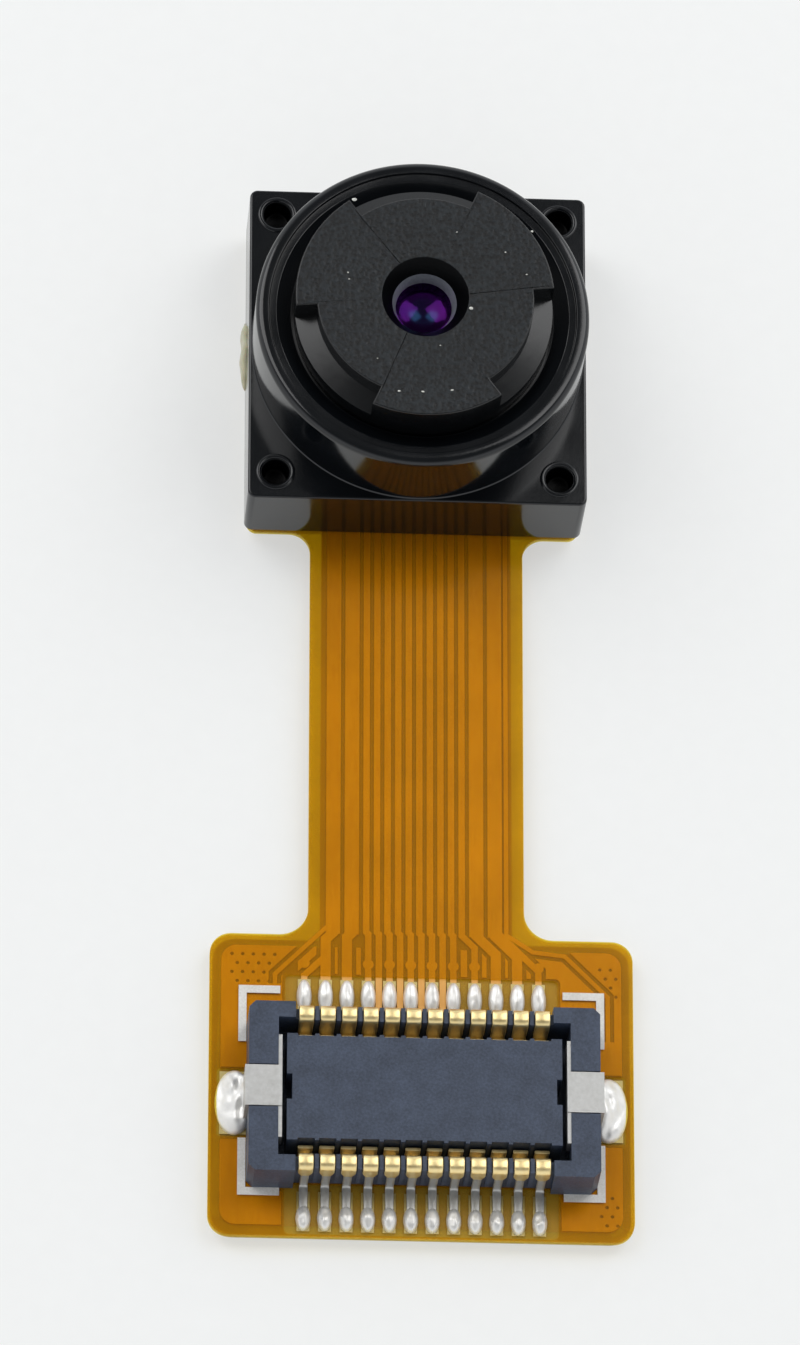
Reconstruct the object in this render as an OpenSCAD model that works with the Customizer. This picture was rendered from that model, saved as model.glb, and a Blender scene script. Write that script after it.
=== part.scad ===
// Fixed-focus camera module on a two-layer flexible circuit.
// The origin lies on the optical axis, in the plane that the stiffeners rest on.
// +Z runs out through the lens, +Y points away from the connector. Millimetres.

/* [Stiffeners] */
// Thickness of both stiffener plates
stiffener_t = 0.2; // [0.1:0.05:0.4]
// How far each plate stays back from the edge of the film
stiffener_inset = 0.06; // [0.02:0.02:0.2]

/* [Film] */
// Thickness of the polyimide base film
film_t = 0.05; // [0.03:0.01:0.1]
// Thickness of each copper layer
copper_t = 0.02; // [0.01:0.005:0.03]
// Thickness of each cover film, copper included
coverlay_t = 0.05; // [0.035:0.005:0.08]
// Side of the square pad of film under the head
head_pad_w = 6.35; // [6:0.05:6.4]
// Corner radius of the pad under the head
head_pad_r = 0.2; // [0.1:0.05:0.4]
// Width of the strip
strip_w = 4.06; // [3.6:0.02:4.6]
// Sideways offset of the strip from the optical axis
strip_x = 0.08; // [-0.2:0.02:0.3]
// Free length of the strip, from the holder's wall to the connector board
strip_l = 8.26; // [6:0.1:12]
// Fillet where the strip meets the head pad
head_fillet_r = 0.42; // [0.2:0.02:0.6]
// Fillet where the strip meets the connector board
board_fillet_r = 0.55; // [0.3:0.05:0.8]

/* [Connector board] */
// Width of the connector board
board_w = 7.95; // [7.6:0.05:9]
// Length of the connector board along the strip
board_l = 5.98; // [5.7:0.02:7]
// Corner radius of the connector board
board_r = 0.4; // [0.2:0.05:0.8]
// Sideways offset of the board from the optical axis
board_x = 0.18; // [0:0.02:0.3]
// Distance from the board's upper edge to the connector's centre line
connector_drop = 3.38; // [3.3:0.02:3.5]

/* [Copper] */
// Pitch of the fine conductors in the strip
trace_pitch = 0.2; // [0.18:0.01:0.22]
// Width of a fine conductor
trace_w = 0.12; // [0.08:0.01:0.14]
// Width of each broad conductor beside the fine ones
broad_w = 0.27; // [0.2:0.01:0.3]
// Bare gap round a conductor
trace_gap = 0.08; // [0.06:0.01:0.1]
// Strip of film without copper along every edge
bare_edge = 0.22; // [0.15:0.01:0.3]
// Diameter of the pin holes in the copper fill
pinhole_d = 0.07; // [0.05:0.01:0.1]
// Pitch of the pin holes
pinhole_pitch = 0.2; // [0.16:0.01:0.3]

/* [Legend] */
// Line width of the white corner marks
mark_w = 0.15; // [0.1:0.01:0.2]
// Distance across the marks, outside to outside
mark_span_x = 6.86; // [6.7:0.02:7.2]
// Distance along the marks, outside to outside
mark_span_y = 4.16; // [4:0.02:4.4]
// Shift of the four marks from the connector's centre line
mark_shift = 0.26; // [0:0.02:0.3]
// Length of the arm across the board
mark_arm_x = 0.78; // [0.5:0.02:0.8]
// Length of the arm along the board
mark_arm_y = 1.12; // [0.8:0.02:1.2]
// Thickness of the ink
mark_t = 0.015; // [0.01:0.005:0.03]

/* [Lens holder] */
// Thickness of the glue line under the holder
bond_t = 0.03; // [0.02:0.01:0.06]
// Side of the holder's square base
base_w = 6.45; // [6.44:0.02:7]
// Height of the square base
base_h = 1.57; // [1.4:0.02:1.9]
// Radius of the base's upright corners
base_r = 0.15; // [0.05:0.01:0.3]
// Outer diameter of the collar
collar_d = 6.34; // [6.2:0.02:6.4]
// Height of the collar above the foot of the holder
collar_h = 3.13; // [2.95:0.02:3.3]
// Radius on the collar's outer lip
lip_r = 0.14; // [0.08:0.01:0.16]
// Size of the sloping root where the collar stands on the base
collar_root = 0.02; // [0.01:0.01:0.05]
// Diameter at which the rim steps down
rim_step_d = 5.84; // [5.76:0.02:5.9]
// Depth of the step in the rim
rim_step = 0.05; // [0.03:0.01:0.1]
// Diameter of the mouth of the cup
mouth_d = 5.56; // [5.4:0.02:5.6]
// Width of the cone between the mouth and the throat, measured on the radius
funnel_w = 0.24; // [0.15:0.01:0.26]
// Height of that cone
funnel_h = 0.36; // [0.2:0.02:0.5]
// Height of the shelf's upper face above the foot
shelf_top = 1.45; // [1.4:0.01:1.48]
// Thickness of the shelf that the filter is glued under
shelf_t = 0.2; // [0.15:0.01:0.3]
// Side of the square cavity over the sensor
cavity_w = 5.2; // [5.1:0.02:5.3]
// Corner radius of the cavity
cavity_r = 0.4; // [0.35:0.05:0.6]
// Width of the light opening in the shelf
light_w = 3.5; // [3:0.1:3.8]
// Length of the light opening in the shelf
light_l = 2.9; // [2.4:0.1:3.2]
// Distance of the corner recesses from both centre lines
recess_at = 2.7; // [2.68:0.01:2.74]
// Diameter of the corner recesses
recess_d = 0.5; // [0.36:0.02:0.54]
// Depth of the corner recesses
recess_h = 0.42; // [0.2:0.02:0.5]
// Diameter of the low ring round each recess
ring_d = 0.74; // [0.66:0.02:0.8]
// Height of that ring
ring_h = 0.03; // [0.02:0.01:0.05]

/* [Lens barrel] */
// Height of the barrel's face above the foot of the holder
face_h = 3.82; // [3.7:0.01:3.9]
// Diameter over the lugs
lug_d = 4.9; // [4.84:0.01:4.92]
// Diameter of the face between the lugs
neck_d = 4.12; // [4:0.02:4.3]
// Number of lugs
lug_n = 3; // [3:1:4]
// Width of a lug as an angle
lug_angle = 60; // [40:1:70]
// Angle of the first lug
lug_turn = 36; // [0:1:90]
// Depth of the notches between the lugs
notch_h = 0.4; // [0.3:0.01:0.5]
// How far the notch floor falls towards the outside
notch_fall = 0.14; // [0:0.01:0.2]
// Pitch of the focusing thread
thread_pitch = 0.25; // [0.2:0.01:0.3]
// Depth of the focusing thread
thread_h = 0.1; // [0.06:0.01:0.12]
// Clearance between barrel and holder
thread_clear = 0.03; // [0.02:0.005:0.05]
// Diameter of the conical mouth at the face
mouth_cone_d = 1.66; // [1.5:0.02:2]
// Depth of that mouth
cone_depth = 0.3; // [0.26:0.01:0.4]
// Diameter of its floor, where the bevel down to the lens begins
cone_floor_d = 1.22; // [1.16:0.02:1.4]
// Diameter of the opening over the lens
pupil_d = 1.06; // [0.98:0.02:1.12]
// Thickness of the barrel's front wall
front_wall = 0.54; // [0.5:0.01:0.6]
// Radial clearance of the lenses in the barrel
lens_clear = 0.02; // [0.01:0.005:0.03]

/* [Lenses] */
// Diameter of the front lens pocket
pocket1_d = 2.6; // [2.3:0.05:2.8]
// Diameter of the middle lens pocket
pocket2_d = 3.1; // [2.9:0.05:3.3]
// Diameter of the rear lens pocket
pocket3_d = 3.7; // [3.5:0.05:3.9]
// Edge thickness of the front lens
lens1_t = 0.36; // [0.32:0.01:0.38]
// Edge thickness of the middle lens
lens2_t = 0.38; // [0.34:0.01:0.4]
// Edge thickness of the rear lens
lens3_t = 0.46; // [0.4:0.01:0.48]
// Thickness of the aperture stop
stop_t = 0.05; // [0.03:0.01:0.06]
// Thickness of the spacer ring
spacer_t = 0.08; // [0.07:0.01:0.1]
// Thickness of the rear retaining ring
retainer_t = 0.2; // [0.15:0.01:0.21]
// Radius of curvature of the front lens surface
lens1_curve = 1.1; // [0.9:0.1:1.6]
// Radius of curvature of the inner lens surfaces
inner_curve = 3.4; // [3:0.1:5]

/* [Sensor] */
// Width of the sensor die
die_w = 4.3; // [4:0.1:4.4]
// Length of the sensor die
die_l = 3.5; // [3:0.1:3.6]
// Thickness of the sensor die
die_t = 0.3; // [0.2:0.02:0.35]
// Thickness of the adhesive under the die
die_bond_t = 0.02; // [0.01:0.005:0.04]
// Width of the infrared filter
filter_w = 4.4; // [4.2:0.1:4.8]
// Length of the infrared filter
filter_l = 3.9; // [3.6:0.1:4.4]
// Thickness of the infrared filter
filter_t = 0.21; // [0.15:0.01:0.3]
// Bond wires on each side of the die
wire_n = 10; // [6:1:12]
// Diameter of a bond wire
wire_d = 0.03; // [0.02:0.005:0.04]
// Pitch of the bond wires
wire_pitch = 0.3; // [0.2:0.02:0.3]
// Length of a chip capacitor
cap_l = 0.6; // [0.5:0.05:0.7]
// Width and height of a chip capacitor
cap_w = 0.3; // [0.25:0.01:0.34]
// Length of each metal end of a capacitor
cap_end = 0.15; // [0.1:0.01:0.2]
// Distance between neighbouring capacitors
cap_pitch = 1.1; // [0.9:0.05:1.3]

/* [Connector] */
// Pitch of the contacts
contact_pitch = 0.4; // [0.38:0.01:0.42]
// Length of the housing
housing_l = 6.54; // [6.4:0.02:6.7]
// Width of the housing
housing_w = 3.34; // [3.3:0.02:3.5]
// Height of the housing
housing_h = 0.98; // [0.9:0.02:1.1]
// Thickness of the housing floor
floor_t = 0.15; // [0.1:0.01:0.2]
// Thickness of the end walls
end_wall = 0.55; // [0.5:0.01:0.6]
// Gap between the end walls and the island, along the housing
end_gap = 0.16; // [0.12:0.01:0.2]
// Width of the island
island_w = 2.1; // [2:0.02:2.14]
// How far the island's top lies under the top of the walls
island_drop = 0.04; // [0:0.01:0.1]
// Distance from the centre line to the outside of the contacts' legs
leg_out = 1.62; // [1.6:0.005:1.63]
// Thickness of the side wall that the contacts hook over
side_wall = 0.2; // [0.18:0.01:0.22]
// Chamfer on the housing's outer corners
corner_cut = 0.12; // [0.05:0.01:0.2]

/* [Contacts] */
// Thickness of the contact strip
contact_t = 0.06; // [0.05:0.005:0.07]
// Width of a contact at the top
contact_w = 0.28; // [0.24:0.01:0.3]
// Width of a contact's tail
tail_w = 0.16; // [0.12:0.01:0.2]
// Distance from the centre line to the end of the tails
tail_out = 2.28; // [2.2:0.01:2.4]
// Inner radius of the contacts' bends
bend_r = 0.06; // [0.04:0.005:0.065]
// Height of the spring leg above the housing floor
spring_h = 0.5; // [0.3:0.02:0.55]
// Width of a solder pad
pad_w = 0.24; // [0.2:0.01:0.26]
// Distance from the centre line to the outer end of the pads
pad_out = 2.5; // [2.45:0.01:2.52]
// Length of a pad
pad_l = 0.78; // [0.6:0.02:0.8]
// Height of the solder at its crown, above the pad
solder_h = 0.13; // [0.1:0.01:0.16]

/* [Hold-down fittings] */
// Thickness of the fittings
fitting_t = 0.07; // [0.05:0.005:0.09]
// Width of the tab over the end wall
tab_w = 0.8; // [0.6:0.02:0.9]
// Length of the strip along the inside of the end wall
inner_strip_l = 2.02; // [1.6:0.02:2.1]
// Depth of that strip
inner_strip_h = 0.45; // [0.3:0.01:0.6]
// Length of the foot on the board
foot_l = 0.26; // [0.2:0.01:0.3]
// Size of the pad under a foot, across the board
fitting_pad_w = 0.62; // [0.55:0.01:0.7]
// Size of the pad under a foot, along the board
fitting_pad_l = 1.24; // [1.1:0.02:1.3]

/* [Glue] */
// Length of the glue squeezed out beside the holder
bead_l = 1.4; // [1:0.05:2]
// How far that glue stands out from the holder
bead_r = 0.09; // [0.05:0.01:0.12]
// Centre of that glue along the holder's wall
bead_y = 0.4; // [0:0.05:1]

/* [Hidden] */
$fn = 96;
eps = 0.01;
contact_n = 12;
fine_n = 10;

z_back = stiffener_t;
z_film = z_back + coverlay_t;
z_copper = z_film + film_t;
z_pad = z_copper + copper_t;
z_top = z_copper + coverlay_t;
z_foot = z_top + bond_t;

board_top = -(base_w / 2 + strip_l);
board_y = board_top - board_l / 2;
connector_y = board_top - connector_drop;

collar_r = collar_d / 2;
throat_r = lug_d / 2 + thread_clear;
thread_flat = thread_pitch / 8;
thread_root = lug_d / 2 - thread_h;
mouth_z = collar_h - rim_step;
funnel_z = mouth_z - funnel_h;
thread_relief = 0.05;
thread_top = funnel_z - 2 * thread_relief;
throat_top_r = mouth_d / 2 - funnel_w;

pocket1_h = lens1_t + stop_t;
pocket2_h = lens2_t + spacer_t;
pocket3_h = lens3_t + retainer_t;
barrel_z = face_h - front_wall - pocket1_h - pocket2_h - pocket3_h;
thread_z = barrel_z + thread_relief;
seat1 = face_h - front_wall;
seat2 = seat1 - pocket1_h;
seat3 = seat2 - pocket2_h;

die_top = die_bond_t + die_t;
cavity_floor = z_copper;
wire_x1 = die_w / 2 - 0.08;
wire_x2 = cavity_w / 2 - 0.12;

row_half = (contact_n - 1) / 2 * contact_pitch;
wall_in = leg_out - contact_t - side_wall;
end_in = housing_l / 2 - end_wall;
side_gap = 0.02;
contact_zone = row_half + contact_w / 2 + 3 * side_gap;
island_l = 2 * (end_in - end_gap);
tab_half = tab_w / 2 + side_gap;
pad_in = pad_out - pad_l;
rib_w = contact_pitch - contact_w - 2 * side_gap;
rib_drop = 0.05;
recess_in = 0.04;
shoulder_drop = 0.3;
shoulder_l = 0.14;
window_side = 0.24;
window_end = 0.1;
window_shift = 0.03;
fitting_pad_x = housing_l / 2 + fitting_pad_w / 2 - 0.12;
solder_curve = 0.42;
solder_edge = 0.005;
cap_y = (die_l / 2 + cavity_w / 2) / 2;
strip_half = strip_w / 2;
board_pads = [for (i = [0:contact_n - 1]) board_x + (i - (contact_n - 1) / 2) * contact_pitch];
fine_x = [for (i = [0:fine_n - 1]) strip_x + (i - (fine_n - 1) / 2) * trace_pitch - 0.04];
broad_off = trace_w / 2 + trace_gap + broad_w / 2;
broad_pitch = broad_w + trace_gap;
broad_left = [for (i = [0:1]) fine_x[0] - broad_off - i * broad_pitch];
broad_right = [for (i = [0:1]) fine_x[fine_n - 1] + broad_off + i * broad_pitch];

// The conductors turn off just above the board; the outermost two run round the connector
turn_y = board_top + 0.1;
turn_step = 0.03;
upper_end = connector_y + pad_out;
lower_end = connector_y - pad_in;
cross_y = lower_end + 0.6;
branch_y = turn_y - 0.5;
branch_x = broad_right[1] + 0.1;
drop_y = upper_end + 0.33;
drop_d = 0.2;
wide_trace_w = trace_w + 0.07;
outer_trace_w = 0.08;
outer_left_x = board_x - 2.75;
outer_left_y = turn_y + 0.2;
outer_right_x = broad_right[1] + broad_w / 2 + trace_gap;
outer_right = [[outer_right_x, 0], [outer_right_x, turn_y],
               [board_x + 2.1, turn_y - 0.33], [board_x + 2.7, turn_y - 0.4],
               [board_x + 3.5, turn_y - 1.2], [board_x + 3.5, turn_y - 2.1]];
outer_left = [[broad_left[1], outer_left_y],
              [outer_left_x, outer_left_y - (broad_left[1] - outer_left_x)],
              [outer_left_x, upper_end - 0.1]];

// Fields of pin holes as [x, y, columns, rows] from the board's upper edge
pinhole_out = board_w / 2 - 1.9 * bare_edge;
pinhole_fields = [[board_x - pinhole_out, board_top - 1.8 * bare_edge, 5, 4],
                  [board_x + pinhole_out - pinhole_pitch, board_top - 2.5 * bare_edge, 2, 4],
                  [board_x + pinhole_out - pinhole_pitch, connector_y - pad_in, 2, 6]];

function contact_name(row, i) = str("contact_", row, i < 9 ? "0" : "", i + 1);

// ---- plane shapes ----

module rounded_square(w, l, r) {
    translate([-w / 2 + r, -l / 2]) square([w - 2 * r, l]);
    translate([-w / 2, -l / 2 + r]) square([w, l - 2 * r]);
    for (sx = [-1, 1], sy = [-1, 1])
        translate([sx * (w / 2 - r), sy * (l / 2 - r)]) circle(r);
}

// Material left in the inside corner between two straight edges
module fillet(r) {
    difference() {
        translate([-eps, -eps]) square(r + eps);
        translate([r, r]) circle(r);
    }
}

module strip_fillets() {
    for (s = [-1, 1]) {
        translate([strip_x + s * strip_half, -base_w / 2])
            scale([s, -1]) fillet(head_fillet_r);
        translate([strip_x + s * strip_half, board_top])
            scale([s, 1]) fillet(board_fillet_r);
    }
}

module film_outline() {
    rounded_square(head_pad_w, head_pad_w, head_pad_r);
    translate([strip_x - strip_half, board_top - 1])
        square([strip_w, strip_l + 1 + (base_w - head_pad_w) / 2 + 1]);
    translate([strip_x - strip_half - head_fillet_r, -base_w / 2])
        square([strip_w + 2 * head_fillet_r, 0.5]);
    translate([board_x, board_y]) rounded_square(board_w, board_l, board_r);
    strip_fillets();
}

// A conductor along straight runs, with octagonal joints
module run(points, w) {
    for (i = [0:len(points) - 2]) {
        a = points[i];
        b = points[i + 1];
        d = b - a;
        translate(a) rotate(atan2(d.y, d.x)) translate([0, -w / 2]) square([norm(d), w]);
        if (i > 0) translate(a) rotate(22.5) circle(d = w / cos(22.5), $fn = 8);
    }
}

// Straight down the strip, across at 45 degrees and straight down to a pad
function dogleg(x1, x2, y_end, y_turn) =
    abs(x2 - x1) < 0.001
        ? [[x1, 0], [x1, y_end]]
        : [[x1, 0], [x1, y_turn], [x2, y_turn - abs(x2 - x1)], [x2, y_end]];

module fine_runs(extra = 0) {
    for (i = [0:fine_n - 2]) {
        upper = i % 2 == 0;
        pad = 3 + floor(i / 2);
        run(dogleg(fine_x[i], board_pads[pad] + (upper ? 0 : contact_pitch / 2),
                   upper ? upper_end : cross_y, turn_y), trace_w + extra);
    }
    for (i = [0:3])
        run([[board_pads[3 + i] + contact_pitch / 2, cross_y],
             [board_pads[4 + i], cross_y - contact_pitch / 2],
             [board_pads[4 + i], lower_end]], trace_w + extra);
    run(dogleg(fine_x[fine_n - 1], board_pads[8], upper_end, turn_y - turn_step), trace_w + extra);
}

module broad_runs(extra = 0) {
    for (i = [0:1]) {
        run(dogleg(broad_right[i], board_pads[9 + i], upper_end, turn_y - turn_step), wide_trace_w + extra);
        run(dogleg(broad_left[i], board_pads[2 - i], upper_end, turn_y - turn_step), wide_trace_w + extra);
    }
    run([[branch_x, turn_y], [board_pads[11], turn_y - board_pads[11] + branch_x],
         [board_pads[11], upper_end]], trace_w + extra);
    run([[board_pads[1], branch_y], [board_pads[0], branch_y - contact_pitch],
         [board_pads[0], upper_end]], trace_w + extra);
    run(outer_right, outer_trace_w + extra);
    run(outer_left, outer_trace_w + extra);
}

// The broad conductors keep their full width in the strip
module broad_bands(extra = 0) {
    for (x = concat(broad_left, broad_right))
        translate([x - broad_w / 2 - extra / 2, turn_y - 0.05]) square([broad_w + extra, -turn_y + 0.05]);
}

module tear_drops() {
    for (i = [0:contact_n - 1])
        translate([board_pads[i], drop_y]) circle(d = drop_d, $fn = 24);
}

module pinholes(x, y, nx, ny) {
    for (i = [0:nx - 1], j = [0:ny - 1])
        translate([x + i * pinhole_pitch + (j % 2) * pinhole_pitch / 2, y - j * pinhole_pitch * 0.9])
            circle(d = pinhole_d, $fn = 16);
}

module board_area(inset) {
    translate([board_x, board_y])
        rounded_square(board_w - 2 * inset, board_l - 2 * inset, board_r - inset / 2);
}

module board_fill() {
    difference() {
        board_area(bare_edge);
        fine_runs(2 * trace_gap);
        broad_runs(2 * trace_gap);
        windows(0.05);
        translate([board_x - end_in, connector_y - pad_in]) square([2 * end_in, 2 * pad_in]);
        translate([board_x - row_half - contact_pitch, upper_end])
            square([contact_pitch * 0.7, 0.42]);
        for (f = pinhole_fields) pinholes(f[0], f[1], f[2], f[3]);
    }
}

// Openings in the cover film over the solder pads
module windows(grow = 0) {
    row_w = 2 * row_half + pad_w + 2 * window_side;
    for (s = [-1, 1]) {
        translate([board_x, connector_y + s * ((pad_out + pad_in) / 2 - window_shift)])
            rounded_square(row_w + 2 * grow, pad_l + 2 * window_end + 2 * grow, window_end);
        translate([board_x + s * fitting_pad_x, connector_y])
            rounded_square(fitting_pad_w + window_end + 2 * grow, fitting_pad_l + window_end + 2 * grow,
                           window_end / 2);
    }
}

module head_window() {
    rounded_square(cavity_w, cavity_w, cavity_r);
}

module copper_plan() {
    intersection() {
        union() {
            fine_runs();
            broad_runs();
            broad_bands();
            tear_drops();
            board_fill();
        }
        translate([-board_w, board_top - board_l])
            square([2 * board_w, board_l - board_top - cavity_w / 2 - bare_edge]);
    }
}

module ground_plan() {
    w = strip_w - 2 * bare_edge;
    rounded_square(head_pad_w - 2 * bare_edge, head_pad_w - 2 * bare_edge, head_pad_r);
    translate([strip_x - w / 2, board_top - 1]) square([w, strip_l + 1.5]);
    board_area(bare_edge);
}

// ---- film ----

module flex_film() {
    color([0.85, 0.55, 0.12])
        translate([0, 0, z_film]) linear_extrude(film_t) film_outline();
}

module copper_traces() {
    color([0.8, 0.48, 0.25])
        translate([0, 0, z_copper]) linear_extrude(copper_t) copper_plan();
}

module ground_plane() {
    color([0.75, 0.43, 0.22])
        translate([0, 0, z_film - copper_t]) linear_extrude(copper_t) ground_plan();
}

module coverlay() {
    color([0.8, 0.5, 0.08, 0.8])
        difference() {
            translate([0, 0, z_copper]) linear_extrude(coverlay_t) difference() {
                film_outline();
                windows();
                head_window();
            }
            translate([0, 0, z_copper - copper_t]) linear_extrude(2 * copper_t) copper_plan();
        }
}

module back_coverlay() {
    color([0.78, 0.48, 0.1])
        difference() {
            translate([0, 0, z_back]) linear_extrude(coverlay_t) film_outline();
            translate([0, 0, z_film - copper_t]) linear_extrude(2 * copper_t) ground_plan();
        }
}

module sensor_stiffener() {
    w = head_pad_w - 2 * stiffener_inset;
    color([0.72, 0.73, 0.74])
        linear_extrude(stiffener_t) rounded_square(w, w, head_pad_r);
}

module connector_stiffener() {
    color([0.88, 0.84, 0.66])
        translate([board_x, board_y]) linear_extrude(stiffener_t)
            rounded_square(board_w - 2 * stiffener_inset, board_l - 2 * stiffener_inset, board_r);
}

module legend_marks() {
    color("white")
        translate([board_x, connector_y + mark_shift, z_top]) linear_extrude(mark_t)
            for (sx = [-1, 1], sy = [-1, 1])
                translate([sx * mark_span_x / 2, sy * mark_span_y / 2]) scale([-sx, -sy]) {
                    square([mark_arm_x, mark_w]);
                    square([mark_w, mark_arm_y]);
                }
}

module contact_pads() {
    color([0.85, 0.78, 0.55])
        for (x = board_pads, s = [-1, 1])
            translate([x - pad_w / 2, connector_y + (s > 0 ? pad_in : -pad_out), z_copper])
                cube([pad_w, pad_l, copper_t]);
}

module fitting_pads() {
    color([0.85, 0.78, 0.55])
        for (s = [-1, 1])
            translate([board_x + s * fitting_pad_x, connector_y, z_copper])
                linear_extrude(copper_t) square([fitting_pad_w, fitting_pad_l], center = true);
}

// ---- head ----

module at_corners() {
    for (sx = [-1, 1], sy = [-1, 1]) translate([sx * recess_at, sy * recess_at]) children();
}

// Thread teeth as the plane of a revolve, from the barrel's lower end to the thread's top
module thread_teeth(r_root, r_crest) {
    n = floor((thread_top - thread_z) / thread_pitch);
    flank = (thread_pitch - 2 * thread_flat) / 2;
    for (i = [0:n - 1])
        translate([0, thread_z + i * thread_pitch])
            polygon([[r_root - eps, 0], [r_root, 0], [r_crest, flank], [r_crest, flank + thread_flat],
                     [r_root, 2 * flank + thread_flat], [r_root - eps, 2 * flank + thread_flat]]);
}

module collar_plan() {
    square([collar_r, collar_h - lip_r]);
    square([collar_r - lip_r, collar_h]);
    translate([collar_r - lip_r, collar_h - lip_r]) circle(lip_r);
    polygon([[0, 0], [collar_r + collar_root, 0], [collar_r + collar_root, base_h],
             [collar_r, base_h + collar_root], [0, base_h + collar_root]]);
}

module cup_plan() {
    translate([0, shelf_top]) square([thread_root + thread_clear, thread_top - shelf_top + eps]);
    translate([0, thread_top]) square([throat_r, funnel_z - thread_top + eps]);
    polygon([[0, funnel_z], [throat_top_r, funnel_z], [mouth_d / 2, mouth_z], [0, mouth_z]]);
    translate([0, mouth_z]) square([mouth_d / 2, 1]);
    translate([0, collar_h - rim_step]) square([rim_step_d / 2, 1]);
    thread_teeth(thread_root + thread_clear, lug_d / 2 + thread_clear);
}

module lens_holder() {
    color([0.06, 0.06, 0.07])
        translate([0, 0, z_foot]) difference() {
            union() {
                linear_extrude(base_h) rounded_square(base_w, base_w, base_r);
                rotate_extrude() collar_plan();
                at_corners() cylinder(d = ring_d, h = base_h + ring_h, $fn = 48);
            }
            rotate_extrude() cup_plan();
            translate([0, 0, -eps]) linear_extrude(shelf_top - shelf_t + eps)
                rounded_square(cavity_w, cavity_w, cavity_r);
            linear_extrude(shelf_top + eps) rounded_square(light_w, light_l, 0.3);
            at_corners() translate([0, 0, base_h - recess_h]) cylinder(d = recess_d, h = 1, $fn = 48);
        }
}

module barrel_plan() {
    r = lug_d / 2;
    difference() {
        union() {
            translate([0, barrel_z]) square([thread_root, face_h - barrel_z]);
            translate([0, funnel_z - thread_relief]) square([r, face_h - funnel_z + thread_relief]);
            thread_teeth(thread_root, r);
        }
        polygon([[0, seat1 - eps], [pupil_d / 2, seat1 - eps], [pupil_d / 2, seat1],
                 [cone_floor_d / 2, face_h - cone_depth], [mouth_cone_d / 2, face_h],
                 [mouth_cone_d / 2, face_h + 1], [0, face_h + 1]]);
        translate([0, seat2]) square([pocket1_d / 2, pocket1_h]);
        translate([0, seat3]) square([pocket2_d / 2, pocket2_h + eps]);
        translate([0, barrel_z - 1]) square([pocket3_d / 2, pocket3_h + 1]);
    }
}

module notch_plan() {
    floor_in = face_h - notch_h;
    polygon([[neck_d / 2, floor_in], [lug_d / 2 + 0.5, floor_in - notch_fall * 2],
             [lug_d / 2 + 0.5, face_h + 1], [neck_d / 2, face_h + 1]]);
}

module lens_barrel() {
    gap_angle = 360 / lug_n - lug_angle;
    color([0.16, 0.16, 0.18])
        translate([0, 0, z_foot]) difference() {
            rotate_extrude() barrel_plan();
            for (i = [0:lug_n - 1])
                rotate(lug_turn + lug_angle / 2 + i * 360 / lug_n)
                    rotate_extrude(angle = gap_angle) notch_plan();
        }
}

// Spherical cap of aperture a on a plane at z = 0, standing up
module cap(curve, a) {
    sag = curve - sqrt(curve * curve - a * a);
    intersection() {
        translate([0, 0, sag - curve]) sphere(curve);
        translate([0, 0, -eps]) cylinder(r = a, h = sag + 1);
    }
}

module front_lens() {
    color([0.35, 0.2, 0.5, 0.7])
        translate([0, 0, z_foot + seat1 - lens1_t]) difference() {
            union() {
                cylinder(d = pocket1_d - 2 * lens_clear, h = lens1_t);
                translate([0, 0, lens1_t]) cap(lens1_curve, pupil_d / 2 - lens_clear);
            }
            cap(inner_curve * 0.9, pupil_d / 2);
        }
}

module aperture_stop() {
    color([0.05, 0.05, 0.05])
        translate([0, 0, z_foot + seat2]) difference() {
            cylinder(d = pocket1_d - 2 * lens_clear, h = stop_t);
            translate([0, 0, -1]) cylinder(d = pupil_d * 0.8, h = 2);
        }
}

module middle_lens() {
    color([0.8, 0.85, 0.9, 0.5])
        translate([0, 0, z_foot + seat2 - lens2_t]) difference() {
            cylinder(d = pocket2_d - 2 * lens_clear, h = lens2_t);
            translate([0, 0, lens2_t]) rotate([180, 0, 0]) cap(inner_curve, pocket1_d * 0.35);
            cap(inner_curve * 1.2, pocket1_d * 0.4);
        }
}

module lens_spacer() {
    color([0.05, 0.05, 0.05])
        translate([0, 0, z_foot + seat3]) difference() {
            cylinder(d = pocket2_d - 2 * lens_clear, h = spacer_t);
            translate([0, 0, -1]) cylinder(d = pocket2_d * 0.7, h = 2);
        }
}

module rear_lens() {
    color([0.8, 0.85, 0.9, 0.5])
        translate([0, 0, z_foot + seat3 - lens3_t]) difference() {
            cylinder(d = pocket3_d - 2 * lens_clear, h = lens3_t);
            cap(inner_curve * 1.3, pocket3_d * 0.38);
        }
}

module lens_retainer() {
    color([0.05, 0.05, 0.05])
        translate([0, 0, z_foot + barrel_z]) difference() {
            cylinder(d = pocket3_d - 2 * lens_clear, h = retainer_t);
            translate([0, 0, -1]) cylinder(d = pocket3_d * 0.8, h = 2);
        }
}

module ir_filter() {
    color([0.5, 0.75, 0.75, 0.5])
        translate([-filter_w / 2, -filter_l / 2, z_foot + shelf_top - shelf_t - filter_t])
            cube([filter_w, filter_l, filter_t]);
}

module image_sensor() {
    color([0.25, 0.3, 0.35])
        translate([-die_w / 2, -die_l / 2, cavity_floor + die_bond_t]) cube([die_w, die_l, die_t]);
}

module die_adhesive() {
    color([0.3, 0.3, 0.3])
        translate([-die_w / 2 + 0.1, -die_l / 2 + 0.1, cavity_floor])
            cube([die_w - 0.2, die_l - 0.2, die_bond_t]);
}

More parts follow.
